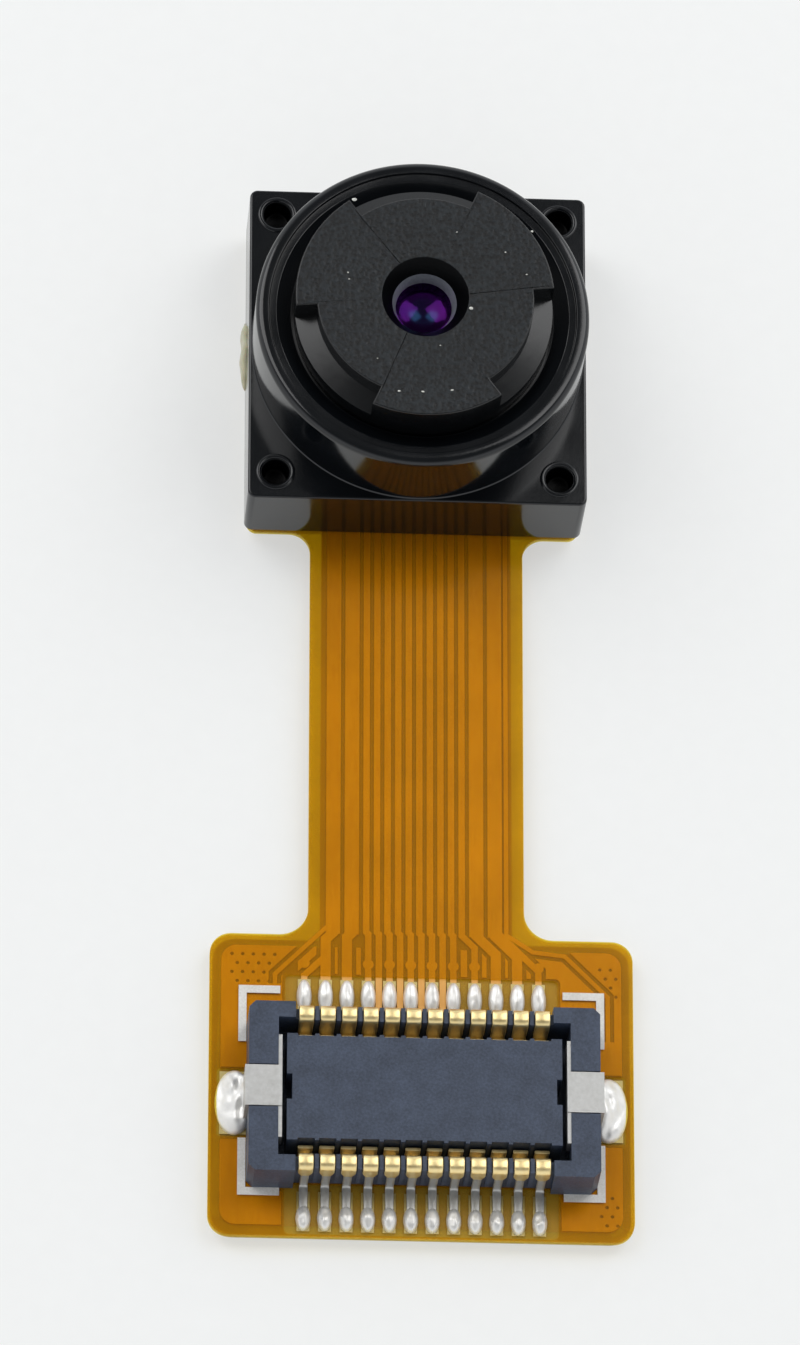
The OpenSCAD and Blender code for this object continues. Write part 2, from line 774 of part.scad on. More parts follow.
// Each wire is a half ring from the die down to the film, with a straight end
module bond_wire() {
    r = (wire_x2 - wire_x1) / 2;
    h = cavity_floor + die_top;
    translate([wire_x1 + r, 0, h + wire_d / 2]) rotate([90, 0, 0])
        rotate_extrude(angle = 180, $fn = 48) translate([r, 0]) circle(d = wire_d, $fn = 16);
    translate([wire_x2, 0, cavity_floor]) cylinder(d = wire_d, h = die_top + wire_d / 2, $fn = 16);
    translate([wire_x1, 0, h]) cylinder(d = wire_d, h = wire_d / 2, $fn = 16);
}

module bond_wires() {
    color([0.95, 0.78, 0.35])
        for (s = [0, 180], i = [0:wire_n - 1])
            rotate(s) translate([0, (i - (wire_n - 1) / 2) * wire_pitch]) bond_wire();
}

module at_capacitors() {
    for (sy = [-1, 1], i = [-1:1]) translate([i * cap_pitch, sy * cap_y, cavity_floor]) children();
}

module capacitors() {
    color([0.6, 0.5, 0.4])
        at_capacitors() translate([-cap_l / 2 + cap_end, -cap_w / 2 + 0.01, 0.01])
            cube([cap_l - 2 * cap_end, cap_w - 0.02, cap_w - 0.02]);
}

module capacitor_ends() {
    color([0.8, 0.8, 0.8])
        at_capacitors() for (s = [-1, 1])
            translate([s * (cap_l - cap_end) / 2 - cap_end / 2, -cap_w / 2, 0])
                cube([cap_end, cap_w, cap_w]);
}

module holder_adhesive() {
    color([0.1, 0.1, 0.1])
        translate([0, 0, z_top]) linear_extrude(bond_t) difference() {
            rounded_square(base_w - 0.24, base_w - 0.24, base_r);
            rounded_square(cavity_w + 0.2, cavity_w + 0.2, cavity_r);
        }
}

module glue_bead() {
    color([0.85, 0.82, 0.6])
        difference() {
            translate([-base_w / 2, bead_y, z_foot + bead_r]) union() {
                rotate([90, 0, 0]) cylinder(r = bead_r, h = bead_l - 2 * bead_r, center = true, $fn = 32);
                for (s = [-1, 1]) translate([0, s * (bead_l / 2 - bead_r), 0]) sphere(bead_r, $fn = 32);
            }
            translate([-base_w / 2, bead_y - bead_l, 0]) cube([1, 2 * bead_l, 3]);
        }
}

// ---- connector ----

module housing_plan() {
    difference() {
        square([housing_l, housing_w], center = true);
        for (sx = [-1, 1], sy = [-1, 1])
            translate([sx * housing_l / 2, sy * housing_w / 2])
                rotate(45) square(corner_cut * sqrt(2), center = true);
    }
}

module connector_housing() {
    side_top = housing_h - contact_t - bend_r;
    color([0.22, 0.27, 0.35])
        translate([board_x, connector_y, z_top]) {
            difference() {
                linear_extrude(housing_h) housing_plan();
                // moat round the island
                translate([-end_in, -wall_in, floor_t]) cube([2 * end_in, 2 * wall_in, 2]);
                for (s = [-1, 1]) {
                    // long sides, cut back to the wall that carries the contacts
                    translate([-contact_zone, s > 0 ? leg_out - contact_t : -housing_w / 2 - 1, -1])
                        cube([2 * contact_zone, housing_w / 2 + 1 - leg_out + contact_t, 4]);
                    translate([-contact_zone, s > 0 ? wall_in - eps : -housing_w / 2 - 1, side_top])
                        cube([2 * contact_zone, housing_w / 2 + 1 - wall_in + eps, 1]);
                    // seat of the fitting's tab over the end wall
                    translate([s > 0 ? end_in - 1 : -housing_l / 2 - 1, -tab_half, housing_h - fitting_t])
                        cube([end_wall + 2, 2 * tab_half, 1]);
                }
            }
            island();
            ribs(side_top);
        }
}

module island() {
    difference() {
        translate([-island_l / 2, -island_w / 2, floor_t - eps])
            cube([island_l, island_w, housing_h - island_drop - floor_t + eps]);
        for (s = [-1, 1]) {
            // shallow recess in each end face
            translate([s * island_l / 2 - 0.1, -0.25, floor_t]) cube([0.2, 0.5, 2]);
            // slots for the ends of the springs
            for (i = [0:contact_n - 1])
                translate([(i - (contact_n - 1) / 2) * contact_pitch - contact_w / 2 - side_gap,
                           s * island_w / 2 - recess_in, floor_t])
                    cube([contact_w + 2 * side_gap, 2 * recess_in, 2]);
        }
    }
}

module ribs(top) {
    for (s = [-1, 1], i = [0:contact_n - 2])
        translate([(i - (contact_n - 2) / 2) * contact_pitch - rib_w / 2,
                   s > 0 ? wall_in - 2 * side_gap : -leg_out + side_gap, floor_t])
            cube([rib_w, side_wall + contact_t + side_gap, housing_h - rib_drop - floor_t]);
}

// Quarter ring of strip, inner radius bend_r, in the quadrant given by sx and sy
module bend(sx, sy) {
    intersection() {
        difference() {
            circle(bend_r + contact_t, $fn = 48);
            circle(bend_r, $fn = 48);
        }
        scale([sx, sy]) square(1);
    }
}

// Side view of a contact: x away from the connector's centre line, y up from the pad
module contact_plan() {
    t = contact_t;
    r = bend_r;
    o = r + t;
    rise = z_top - z_pad;
    top = rise + housing_h;
    low = rise + floor_t + 0.01;
    inner = wall_in;
    spring = island_w / 2 + 0.01;
    leg = leg_out - t;
    translate([leg_out + r, 0]) square([tail_out - leg_out - r, t]);
    translate([leg_out + r, o]) bend(-1, -1);
    translate([leg, o]) square([t, top - 2 * o]);
    translate([leg_out - o, top - o]) bend(1, 1);
    translate([inner - t + o, top - t]) square([leg_out - inner + t - 2 * o, t]);
    translate([inner - t + o, top - o]) bend(-1, 1);
    translate([inner - t, low + o]) square([t, top - low - 2 * o]);
    translate([inner - o, low + o]) bend(1, -1);
    translate([spring + o, low]) square([inner - spring - 2 * o, t]);
    translate([spring + o, low + o]) bend(-1, -1);
    translate([spring, low + o]) square([t, spring_h - o]);
}

module contact() {
    rise = z_top - z_pad;
    shoulder = rise + housing_h - shoulder_drop;
    intersection() {
        rotate([90, 0, 90]) linear_extrude(contact_w, center = true) contact_plan();
        union() {
            translate([-1, 0, -1]) cube([2, leg_out - contact_t - 0.05, 4]);
            rotate([90, 0, 0]) mirror([0, 0, 1]) linear_extrude(tail_out + 1)
                polygon([[-tail_w / 2, -1], [tail_w / 2, -1], [tail_w / 2, shoulder - shoulder_l],
                         [contact_w / 2, shoulder], [contact_w / 2, 3], [-contact_w / 2, 3],
                         [-contact_w / 2, shoulder], [-tail_w / 2, shoulder - shoulder_l]]);
        }
    }
}

module placed_contact(row, i) {
    color([0.9, 0.74, 0.38])
        translate([board_pads[i], connector_y, z_pad]) rotate(row == "a" ? 0 : 180) contact();
}

module fitting_shape() {
    t = fitting_t;
    drop = z_top - z_pad;
    top = housing_h + drop;
    outer = housing_l / 2;
    // strip inside the end wall
    translate([end_in - t, -inner_strip_l / 2, top - inner_strip_h])
        cube([t, inner_strip_l, inner_strip_h - side_gap]);
    translate([end_in - t, -tab_w / 2, top - inner_strip_h]) cube([t, tab_w, inner_strip_h]);
    // tab over the wall, down its outside and onto the board
    translate([end_in - t, -tab_w / 2, top - t]) cube([end_wall + 2 * t, tab_w, t]);
    translate([outer, -tab_w / 2, 0]) cube([t, tab_w, top]);
    translate([outer, -tab_w / 2, 0]) cube([t + foot_l, tab_w, t]);
}

module fitting_left() {
    color([0.75, 0.76, 0.76])
        translate([board_x, connector_y, z_pad]) rotate(180) fitting_shape();
}

module fitting_right() {
    color([0.75, 0.76, 0.76])
        translate([board_x, connector_y, z_pad]) fitting_shape();
}

// Solder lies over the end of the tail and wets the pad out to its end
module solder_joint() {
    crown = (pad_out + tail_out - pad_w) / 2;
    difference() {
        intersection() {
            translate([-pad_w / 2 + solder_edge, crown - pad_w, 0])
                cube([pad_w - 2 * solder_edge, pad_out - crown + pad_w - solder_edge, 1]);
            translate([0, crown, solder_h - solder_curve]) sphere(solder_curve, $fn = 48);
        }
        translate([-tail_w / 2, 0, -1]) cube([tail_w, tail_out, 1 + contact_t]);
    }
}

module solder_row(turn) {
    color([0.85, 0.85, 0.84])
        for (x = board_pads)
            translate([x, connector_y, z_pad]) rotate(turn) solder_joint();
}

module solder_upper() {
    solder_row(0);
}

module solder_lower() {
    solder_row(180);
}

module fitting_solder() {
    x0 = housing_l / 2 + fitting_t;
    reach = fitting_pad_w * 0.7;
    r = fitting_pad_l / 2;
    difference() {
        intersection() {
            translate([x0, -r + side_gap, 0]) cube([reach, 2 * r - 2 * side_gap, r]);
            translate([x0 - r * 0.16, 0, -r * 0.24]) sphere(r, $fn = 64);
        }
        translate([x0 - reach, -tab_w / 2, -reach]) cube([reach + foot_l, tab_w, reach + fitting_t]);
    }
}

module solder_fittings() {
    color([0.85, 0.85, 0.84])
        for (turn = [0, 180])
            translate([board_x, connector_y, z_pad]) rotate(turn) fitting_solder();
}

lens_holder();
lens_barrel();
front_lens();
aperture_stop();
middle_lens();
lens_spacer();
rear_lens();
lens_retainer();
ir_filter();
image_sensor();
die_adhesive();
bond_wires();
capacitors();
capacitor_ends();
holder_adhesive();
glue_bead();
flex_film();
copper_traces();
ground_plane();
coverlay();
back_coverlay();
sensor_stiffener();
connector_stiffener();
contact_pads();
fitting_pads();
legend_marks();
connector_housing();
fitting_left();
fitting_right();
solder_upper();
solder_lower();
solder_fittings();
for (i = [0:contact_n - 1]) {
    placed_contact("a", i);
    placed_contact("b", i);
}
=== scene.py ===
import math
import random

import bmesh
import bpy
from mathutils import Matrix, Vector, noise


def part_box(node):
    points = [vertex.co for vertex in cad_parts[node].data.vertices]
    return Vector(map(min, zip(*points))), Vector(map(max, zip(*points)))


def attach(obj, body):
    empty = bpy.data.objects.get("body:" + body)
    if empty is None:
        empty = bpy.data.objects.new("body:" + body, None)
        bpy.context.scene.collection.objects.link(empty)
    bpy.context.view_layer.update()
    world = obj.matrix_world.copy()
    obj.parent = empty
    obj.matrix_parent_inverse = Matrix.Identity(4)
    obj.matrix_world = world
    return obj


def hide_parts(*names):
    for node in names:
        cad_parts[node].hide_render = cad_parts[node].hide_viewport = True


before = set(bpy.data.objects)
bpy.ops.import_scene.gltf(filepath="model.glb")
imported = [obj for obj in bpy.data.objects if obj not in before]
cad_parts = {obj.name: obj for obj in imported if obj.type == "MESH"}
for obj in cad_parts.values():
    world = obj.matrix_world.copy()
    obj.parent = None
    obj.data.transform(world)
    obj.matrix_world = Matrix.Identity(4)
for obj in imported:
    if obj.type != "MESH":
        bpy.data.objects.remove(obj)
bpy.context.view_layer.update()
mm = 0.001
scene = bpy.context.scene


# Meshes are drawn in millimetres and scaled to metres when they become objects

def span(node):
    low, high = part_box(node)
    return low / mm, high / mm


def hexColour(code):
    rgb = [int(code[i:i + 2], 16) / 255 for i in (1, 3, 5)]
    return tuple(c / 12.92 if c <= 0.04045 else ((c + 0.055) / 1.055) ** 2.4 for c in rgb) + (1.0,)


def addNode(tree, kind, settings, inputs):
    node = tree.nodes.new("ShaderNode" + kind)
    for name, value in settings.items():
        setattr(node, name, value)
    for name, value in inputs.items():
        if isinstance(value, bpy.types.NodeSocket):
            tree.links.new(value, node.inputs[name])
        else:
            node.inputs[name].default_value = value
    return node


def newMaterial(name):
    material = bpy.data.materials.new(name)
    material.use_nodes = True
    material.node_tree.nodes.clear()
    return material, material.node_tree


def objectSpace(tree):
    return addNode(tree, "TexCoord", {}, {}).outputs["Object"]


def perMm(size):  # texture scale for a feature of that many millimetres
    return 1 / (size * mm)


def cloudNoise(tree, spot, size, detail, roughness=0.5):  # size of one patch in millimetres
    inputs = {"Vector": spot, "Scale": perMm(size), "Detail": detail, "Roughness": roughness}
    return addNode(tree, "TexNoise", {}, inputs).outputs[0]


def mixColours(tree, share, low, high, mode="MIX"):  # share 0 gives low, share 1 gives high
    settings = {"data_type": "RGBA", "blend_type": mode}
    return addNode(tree, "Mix", settings, {0: share, 6: low, 7: high}).outputs[2]


def hexMix(tree, share, low, high):
    return mixColours(tree, share, hexColour(low), hexColour(high))


def remap(tree, value, fromLow, fromHigh, toLow=0.0, toHigh=1.0):
    inputs = {0: value, 1: fromLow, 2: fromHigh, 3: toLow, 4: toHigh}
    return addNode(tree, "MapRange", {}, inputs).outputs[0]


def relief(tree, height, strength, depth):  # bump with its depth in millimetres
    inputs = {"Height": height, "Strength": strength, "Distance": depth * mm}
    return addNode(tree, "Bump", {}, inputs).outputs[0]


def mixShaders(tree, share, first, second):  # share 0 shows the first, share 1 the second
    return addNode(tree, "MixShader", {}, {0: share, 1: first.outputs[0], 2: second.outputs[0]})


def showShader(tree, shader):
    addNode(tree, "OutputMaterial", {}, {"Surface": shader.outputs[0]})


def solidShader(tree, colour, roughness, more):
    inputs = {"Base Color": colour, "Roughness": roughness, **more}
    showShader(tree, addNode(tree, "BsdfPrincipled", {}, inputs))


print("helpers ready")

# materials


def mouldedLcpPolished():
    # Liquid crystal polymer from a polished tool: deep black, clear reflections, flow marks of 0.9 mm
    material, tree = newMaterial("Moulded LCP, polished black")
    spot = objectSpace(tree)
    cloud = cloudNoise(tree, spot, 0.9, 4.0)
    grain = cloudNoise(tree, spot, 0.06, 3.0)
    gloss = remap(tree, cloud, 0.3, 0.7, 0.1, 0.16)
    solidShader(tree, hexMix(tree, cloud, "#050709", "#0d1014"), gloss,
                {"IOR": 1.52, "Normal": relief(tree, grain, 0.12, 0.004)})
    return material


def mouldedLcpSparked():
    # The same resin from a spark-eroded tool: grey-black with a coarse pitted grain of about 0.1 mm
    material, tree = newMaterial("Moulded LCP, spark-eroded black")
    spot = objectSpace(tree)
    pits = cloudNoise(tree, spot, 0.11, 3.0, 0.65)
    cells = addNode(tree, "TexVoronoi", {}, {"Vector": spot, "Scale": perMm(0.085)}).outputs["Distance"]
    cloud = cloudNoise(tree, spot, 0.8, 2.0)
    mixed = addNode(tree, "Math", {"operation": "MULTIPLY_ADD"}, {0: cells, 1: 0.5, 2: pits}).outputs[0]
    tone = hexMix(tree, remap(tree, mixed, 0.6, 0.9), "#020304", "#1c2226")
    shade = mixColours(tree, cloud, tone, hexColour("#b4b4b8"), "MULTIPLY")
    solidShader(tree, shade, 0.42, {"IOR": 1.4, "Normal": relief(tree, mixed, 1.0, 0.02)})
    return material


def paintedBlack(name, low, high, grainSize, roughness, ior=1.5):
    # Plain black surfaces, grained by 0.01 mm: barrel walls and mouth, stops, glue. The mouth's extra
    # darkness is painted shade, and the grey ring below it is a painted highlight
    material, tree = newMaterial(name)
    grain = cloudNoise(tree, objectSpace(tree), grainSize, 4.0)
    solidShader(tree, hexMix(tree, grain, low, high), roughness,
                {"IOR": ior, "Normal": relief(tree, grain, 0.3, 0.01)})
    return material


def coatedLens():
    # Moulded lens with an anti-reflection coating: clear, its weak reflections turn violet
    material, tree = newMaterial("Moulded lens, coated")
    tint = hexMix(tree, cloudNoise(tree, objectSpace(tree), 0.5, 1.0), "#c63cf0", "#9a4cff")
    clear = addNode(tree, "BsdfTransparent", {}, {"Color": hexColour("#e8e6f0")})
    shine = addNode(tree, "BsdfGlossy", {}, {"Color": tint, "Roughness": 0.12})
    facing = addNode(tree, "Fresnel", {}, {"IOR": 1.6}).outputs[0]
    showShader(tree, mixShaders(tree, facing, clear, shine))
    return material


def shadedLensBack():
    # The back of the front lens: opaque near black, a painted shade for the dark inside of the head; its
    # coating reflects blue
    material, tree = newMaterial("Lens back, near black as painted shade")
    tint = hexMix(tree, cloudNoise(tree, objectSpace(tree), 0.3, 1.0), "#3f8cff", "#7ad8ff")
    solidShader(tree, hexColour("#010103"), 0.16, {"IOR": 1.6, "Specular Tint": tint})
    return material


def clearLens(name, tintHex, roughness):
    # Lenses and filter deeper in the head: clear, faintly tinted, gloss varying over 0.8 mm
    material, tree = newMaterial(name)
    film = cloudNoise(tree, objectSpace(tree), 0.8, 1.0)
    gloss = remap(tree, film, 0.0, 1.0, roughness, roughness + 0.05)
    clear = addNode(tree, "BsdfTransparent", {}, {"Color": hexColour(tintHex)})
    shine = addNode(tree, "BsdfGlossy", {}, {"Color": hexColour("#f0f4ff"), "Roughness": gloss})
    facing = addNode(tree, "Fresnel", {}, {"IOR": 1.5}).outputs[0]
    showShader(tree, mixShaders(tree, facing, clear, shine))
    return material


def amberFilm(name, passHex, bodyHex, body, roughness):
    # Polyimide: clear amber film that colours whatever lies under it, glossy skin uneven over 0.12 mm
    material, tree = newMaterial(name)
    spot = objectSpace(tree)
    waves = remap(tree, cloudNoise(tree, spot, 1.3, 3.0), 0.25, 0.75, 0.93, 1.0)
    passed = mixColours(tree, 1.0, hexColour(passHex), waves, "MULTIPLY")
    skin = relief(tree, cloudNoise(tree, spot, 0.12, 2.0), 0.25, 0.003)
    clear = addNode(tree, "BsdfTransparent", {}, {"Color": passed})
    haze = addNode(tree, "BsdfPrincipled", {}, {"Base Color": hexColour(bodyHex), "Roughness": roughness,
                                                "IOR": 1.6, "Normal": skin})
    showShader(tree, mixShaders(tree, body, clear, haze))
    return material


def etchedCopper(name, low, high, roughness):
    # Rolled and etched copper foil: metallic, with a 0.05 mm grain drawn out along the strip
    material, tree = newMaterial(name)
    along = addNode(tree, "Mapping", {}, {"Vector": objectSpace(tree), "Scale": (1.0, 0.15, 1.0)})
    grain = cloudNoise(tree, along.outputs[0], 0.05, 4.0)
    solidShader(tree, hexMix(tree, grain, low, high), roughness,
                {"Metallic": 1.0, "Normal": relief(tree, grain, 0.3, 0.003)})
    return material


def platedMetal(name, low, high, grainSize, roughness, depth, metallic=1.0):
    # Plated, tinned or rolled metal, told apart by colour, gloss and the size of its unevenness in mm
    material, tree = newMaterial(name)
    grain = cloudNoise(tree, objectSpace(tree), grainSize, 5.0)
    gloss = remap(tree, grain, 0.3, 0.7, roughness, roughness + 0.12)
    solidShader(tree, hexMix(tree, grain, low, high), gloss,
                {"Metallic": metallic, "Normal": relief(tree, grain, 0.5, depth)})
    return material


def mouldedPlastic(name, low, high, grainSize, roughness, depth):
    # Filled resins, ceramic, laminate and ink: a body colour with a fine grain, sizes in mm
    material, tree = newMaterial(name)
    spot = objectSpace(tree)
    grain = cloudNoise(tree, spot, grainSize, 5.0, 0.6)
    cloud = cloudNoise(tree, spot, grainSize * 9, 2.0)
    both = addNode(tree, "Math", {"operation": "MULTIPLY_ADD"}, {0: cloud, 1: 0.6, 2: grain}).outputs[0]
    tone = hexMix(tree, remap(tree, both, 0.55, 1.05), low, high)
    solidShader(tree, tone, roughness, {"Normal": relief(tree, grain, 0.5, depth)})
    return material


def cloudyGlue():
    # Cured clear adhesive: yellowed, half translucent, cloudy over 0.25 mm
    material, tree = newMaterial("Cured adhesive, pale")
    cloud = cloudNoise(tree, objectSpace(tree), 0.25, 4.0)
    solidShader(tree, hexMix(tree, cloud, "#8f8a68", "#d8d4b4"), 0.32,
                {"IOR": 1.5, "Subsurface Weight": 0.3, "Subsurface Scale": 0.1 * mm,
                 "Normal": relief(tree, cloud, 0.6, 0.03)})
    return material


finishes = {
    "holder": mouldedLcpPolished(),
    "barrel": mouldedLcpSparked(),
    "lugWall": paintedBlack("Moulded LCP, smooth black", "#050607", "#0c0e10", 0.3, 0.25),
    # Mouth cone and corner recesses: black resin made darker and less reflecting (low IOR) as painted shade
    "shadedPit": paintedBlack("Moulded LCP, black with painted shade", "#010102", "#030405", 0.08, 0.3, 1.16),
    # Grey pupil wall under the mouth cone: a painted highlight on black resin
    "mouthRingHighlight": paintedBlack("Moulded LCP, grey as painted highlight", "#62666c", "#868a90", 0.05, 0.3),
    "innerBlack": paintedBlack("Blackened film", "#030303", "#0a0a0a", 0.05, 0.75),
    "blackGlue": paintedBlack("Cured black epoxy", "#08080a", "#141416", 0.2, 0.35),
    "lens": coatedLens(),
    "shadedLensBack": shadedLensBack(),
    "rearLens": clearLens("Moulded lens, clear", "#e4ecf0", 0.05),
    "filter": clearLens("Infrared filter glass", "#9fd0cc", 0.04),
    "coverFilm": amberFilm("Polyimide cover film, amber", "#fff7a0", "#d88e16", 0.16, 0.2),
    "baseFilm": amberFilm("Polyimide base film, amber", "#fffabc", "#f0c848", 0.3, 0.3),
    "copper": etchedCopper("Etched copper foil", "#dca45c", "#ecbc74", 0.62),
    # Back-layer copper seen between traces: darker and redder, partly its own tone, partly painted shade of
    # the narrow gaps
    "shadedGroundCopper": etchedCopper("Rolled copper foil, back layer, darkened with painted shade", "#a0583a", "#b56a48", 0.6),
    "gold": platedMetal("Gold plate over nickel", "#f6d48a", "#fff0bc", 0.07, 0.3, 0.002, 0.85),
    "goldPad": platedMetal("Gold plate, immersion", "#b8a468", "#d6c48c", 0.06, 0.42, 0.006),
    "goldWire": platedMetal("Drawn gold wire", "#e8c46c", "#f4d890", 0.03, 0.2, 0.001),
    "tin": platedMetal("Matt tin plate", "#b4b3af", "#d2d2d0", 0.08, 0.34, 0.002, 0.8),
    # Solder: half metallic with a near-white body, partly frosted solder, partly a painted highlight
    # standing in for the lamps' reflections
    "solder": platedMetal("Reflowed solder, frosted, whitened as painted highlight", "#e4e2de", "#fcfaf6", 0.1, 0.34, 0.01, 0.5),
    "stainless": platedMetal("Rolled stainless sheet", "#8f9193", "#b2b3b4", 0.3, 0.3, 0.002),
    "laminate": mouldedPlastic("Glass-epoxy laminate", "#b9ab74", "#d8cc98", 0.15, 0.5, 0.008),
    "connector": mouldedPlastic("Moulded LCP, slate", "#2b3444", "#434e62", 0.05, 0.42, 0.006),
    "ink": mouldedPlastic("Screen-printed white ink", "#dcd8cf", "#f6f3ee", 0.04, 0.6, 0.006),
    "silicon": mouldedPlastic("Polished silicon die", "#27313b", "#4a5662", 0.1, 0.16, 0.001),
    "ceramic": mouldedPlastic("Fired ceramic", "#8a6e50", "#a68a68", 0.04, 0.45, 0.004),
    "paleGlue": cloudyGlue(),
    # Pale specks: dust, and on the bottom lug painted highlights of small bumps
    "dustAndGlints": mouldedPlastic("Dust and lint, with painted glints", "#b8b8b0", "#eeeee6", 0.02, 0.8, 0.004),
}
print("materials ready")

# mesh tools


def roundedRect(width, length, radius, inset=0.0, steps=8):
    w, l, r = width / 2 - inset, length / 2 - inset, max(radius - inset, 0.01)
    points = []
    for turn, (x, y) in enumerate([(w - r, l - r), (r - w, l - r), (r - w, r - l), (w - r, r - l)]):
        for i in range(steps + 1):
            a = math.pi / 2 * (turn + i / steps)
            points.append((x + r * math.cos(a), y + r * math.sin(a)))
    return points


def rounded(corners, steps=5):  # a closed outline of (x, y, radius) with its corners rounded off
    points = []
    for i, (x, y, radius) in enumerate(corners):
        if radius <= 0:
            points.append((x, y))
            continue
        here = Vector((x, y))
        before = (Vector(corners[i - 1][:2]) - here).normalized()
        after = (Vector(corners[(i + 1) % len(corners)][:2]) - here).normalized()
        half = before.angle(after) / 2
        reach = radius / math.tan(half)
        centre = here + (before + after).normalized() * radius / math.sin(half)
        start, end = here + before * reach - centre, here + after * reach - centre
        turn = start.angle_signed(end)
        for k in range(steps + 1):
            arm = start.copy()
            arm.rotate(Matrix.Rotation(-turn * k / steps, 2))
            points.append(tuple(centre + arm))
    return points


def arc(cx, cz, radius, fromAngle, toAngle, steps=6):
    angles = [math.radians(fromAngle + (toAngle - fromAngle) * i / steps) for i in range(steps + 1)]
    return [(cx + radius * math.cos(a), cz + radius * math.sin(a)) for a in angles]


def stack(bm, rings, capped=True):  # closed rings of equal length joined one to the next
    loops = [[bm.verts.new(p) for p in ring] for ring in rings]
    n = len(loops[0])
    for lower, upper in zip(loops, loops[1:]):
        for i in range(n):
            bm.faces.new((lower[i], lower[(i + 1) % n], upper[(i + 1) % n], upper[i]))
    if capped:
        bm.faces.new(loops[0][::-1])
        bm.faces.new(loops[-1])
    return loops


def block(bm, outline, levels):  # outline(inset) is a plane shape, levels are (inset, height)
    stack(bm, [[(x, y, z) for x, y in outline(inset)] for inset, z in levels])


def lathe(bm, profile, steps=288, centre=(0.0, 0.0)):  # closed profile of (radius, height)
    rings = []
    for i in range(steps):
        a = math.radians(360 * i / steps)
        rings.append([(centre[0] + r * math.cos(a), centre[1] + r * math.sin(a), z) for r, z in profile])
    loops = stack(bm, rings, capped=False)
    n = len(profile)
    for i in range(n):
        bm.faces.new((loops[-1][i], loops[-1][(i + 1) % n], loops[0][(i + 1) % n], loops[0][i]))
    bmesh.ops.remove_doubles(bm, verts=[v for loop in loops for v in loop], dist=1e-5)


def shadeSmooth(bm, sharpAngle):
    for face in bm.faces:
        face.smooth = True
    for edge in bm.edges:
        edge.smooth = not (len(edge.link_faces) == 2 and edge.calc_face_angle(0) > math.radians(sharpAngle))


def makeObject(bm, name, finishNames, sharpAngle=35.0):
    bmesh.ops.recalc_face_normals(bm, faces=bm.faces)
    bmesh.ops.scale(bm, vec=(mm, mm, mm), verts=bm.verts)
    shadeSmooth(bm, sharpAngle)
    mesh = bpy.data.meshes.new(name)
    bm.to_mesh(mesh)
    bm.free()
    obj = bpy.data.objects.new(name, mesh)
    scene.collection.objects.link(obj)
    for finish in finishNames:
        mesh.materials.append(finishes[finish])
    return obj


def place(obj, slot, *nodes):
    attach(obj, "root")
    if nodes:
        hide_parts(*nodes)
    return obj


def useModifiers(obj, *stages):
    for kind, settings in stages:
        modifier = obj.modifiers.new(kind.title(), kind)
        for key, value in settings.items():
            setattr(modifier, key, value)


def applyModifiers(obj):
    shown = bpy.context.evaluated_depsgraph_get()
    mesh = bpy.data.meshes.new_from_object(obj.evaluated_get(shown))
    obj.modifiers.clear()
    obj.data = mesh


def cutBy(obj, cutters):
    for cutter in cutters:
        useModifiers(obj, ("BOOLEAN", {"operation": "DIFFERENCE", "solver": "EXACT", "object": cutter,
                                       "material_mode": "TRANSFER"}))
    applyModifiers(obj)
    for cutter in cutters:
        bpy.data.objects.remove(cutter)


def resharpen(obj, sharpAngle=35.0):
    bm = bmesh.new()
    bm.from_mesh(obj.data)
    shadeSmooth(bm, sharpAngle)
    bm.to_mesh(obj.data)
    bm.free()


evenNormals = ("WEIGHTED_NORMAL", {"keep_sharp": True, "weight": 80})
print("mesh tools ready")

# lens holder: square base with four locating recesses, round collar and cup

holder = {"baseHeight": 1.57, "cornerRadius": 0.15, "edge": 0.045, "footEdge": 0.02,
          "collarRadius": 3.17, "lip": 0.14, "root": 0.02, "rootRound": 0.01,
          "stepRadius": 2.92, "stepDepth": 0.05, "stepEdge": 0.018, "stepCorner": 0.014,
          "mouthRadius": 2.78, "mouthEdge": 0.03, "throatRadius": 2.5, "throatEdge": 0.005,
          "funnelHeight": 0.2, "cupRadius": 2.48, "cupWall": 0.1, "shelfTop": 1.45, "shelf": 0.2,
          "cavity": 5.2, "cavityCorner": 0.4, "light": (3.5, 2.9), "lightCorner": 0.3,
          "recessAt": 2.7, "recessRadius": 0.25, "recessDepth": 0.42, "recessFloor": 0.06,
          "recessLip": 0.035, "ringRadius": 0.37, "ringHeight": 0.03, "ringRound": 0.028}
low, high = span("lens_holder")
foot, rimTop = low.z, high.z
baseSide = high.x - low.x
baseTop = foot + holder["baseHeight"]
shelfTop = foot + holder["shelfTop"]


def atRecesses(bm, profile):  # one turned shape at each of the four corners
    for sx in (-1, 1):
        for sy in (-1, 1):
            lathe(bm, profile, steps=48, centre=(sx * holder["recessAt"], sy * holder["recessAt"]))


bm = bmesh.new()
edge, footEdge = holder["edge"], holder["footEdge"]
levels = [(footEdge, foot), (0.0, foot + footEdge)]
levels += [(edge - x, z) for x, z in arc(0, baseTop - edge, edge, 0, 90, 5)]
block(bm, lambda inset: roundedRect(baseSide, baseSide, holder["cornerRadius"], inset), levels)
baseBlock = makeObject(bm, "lens_holder_body", ["holder"])

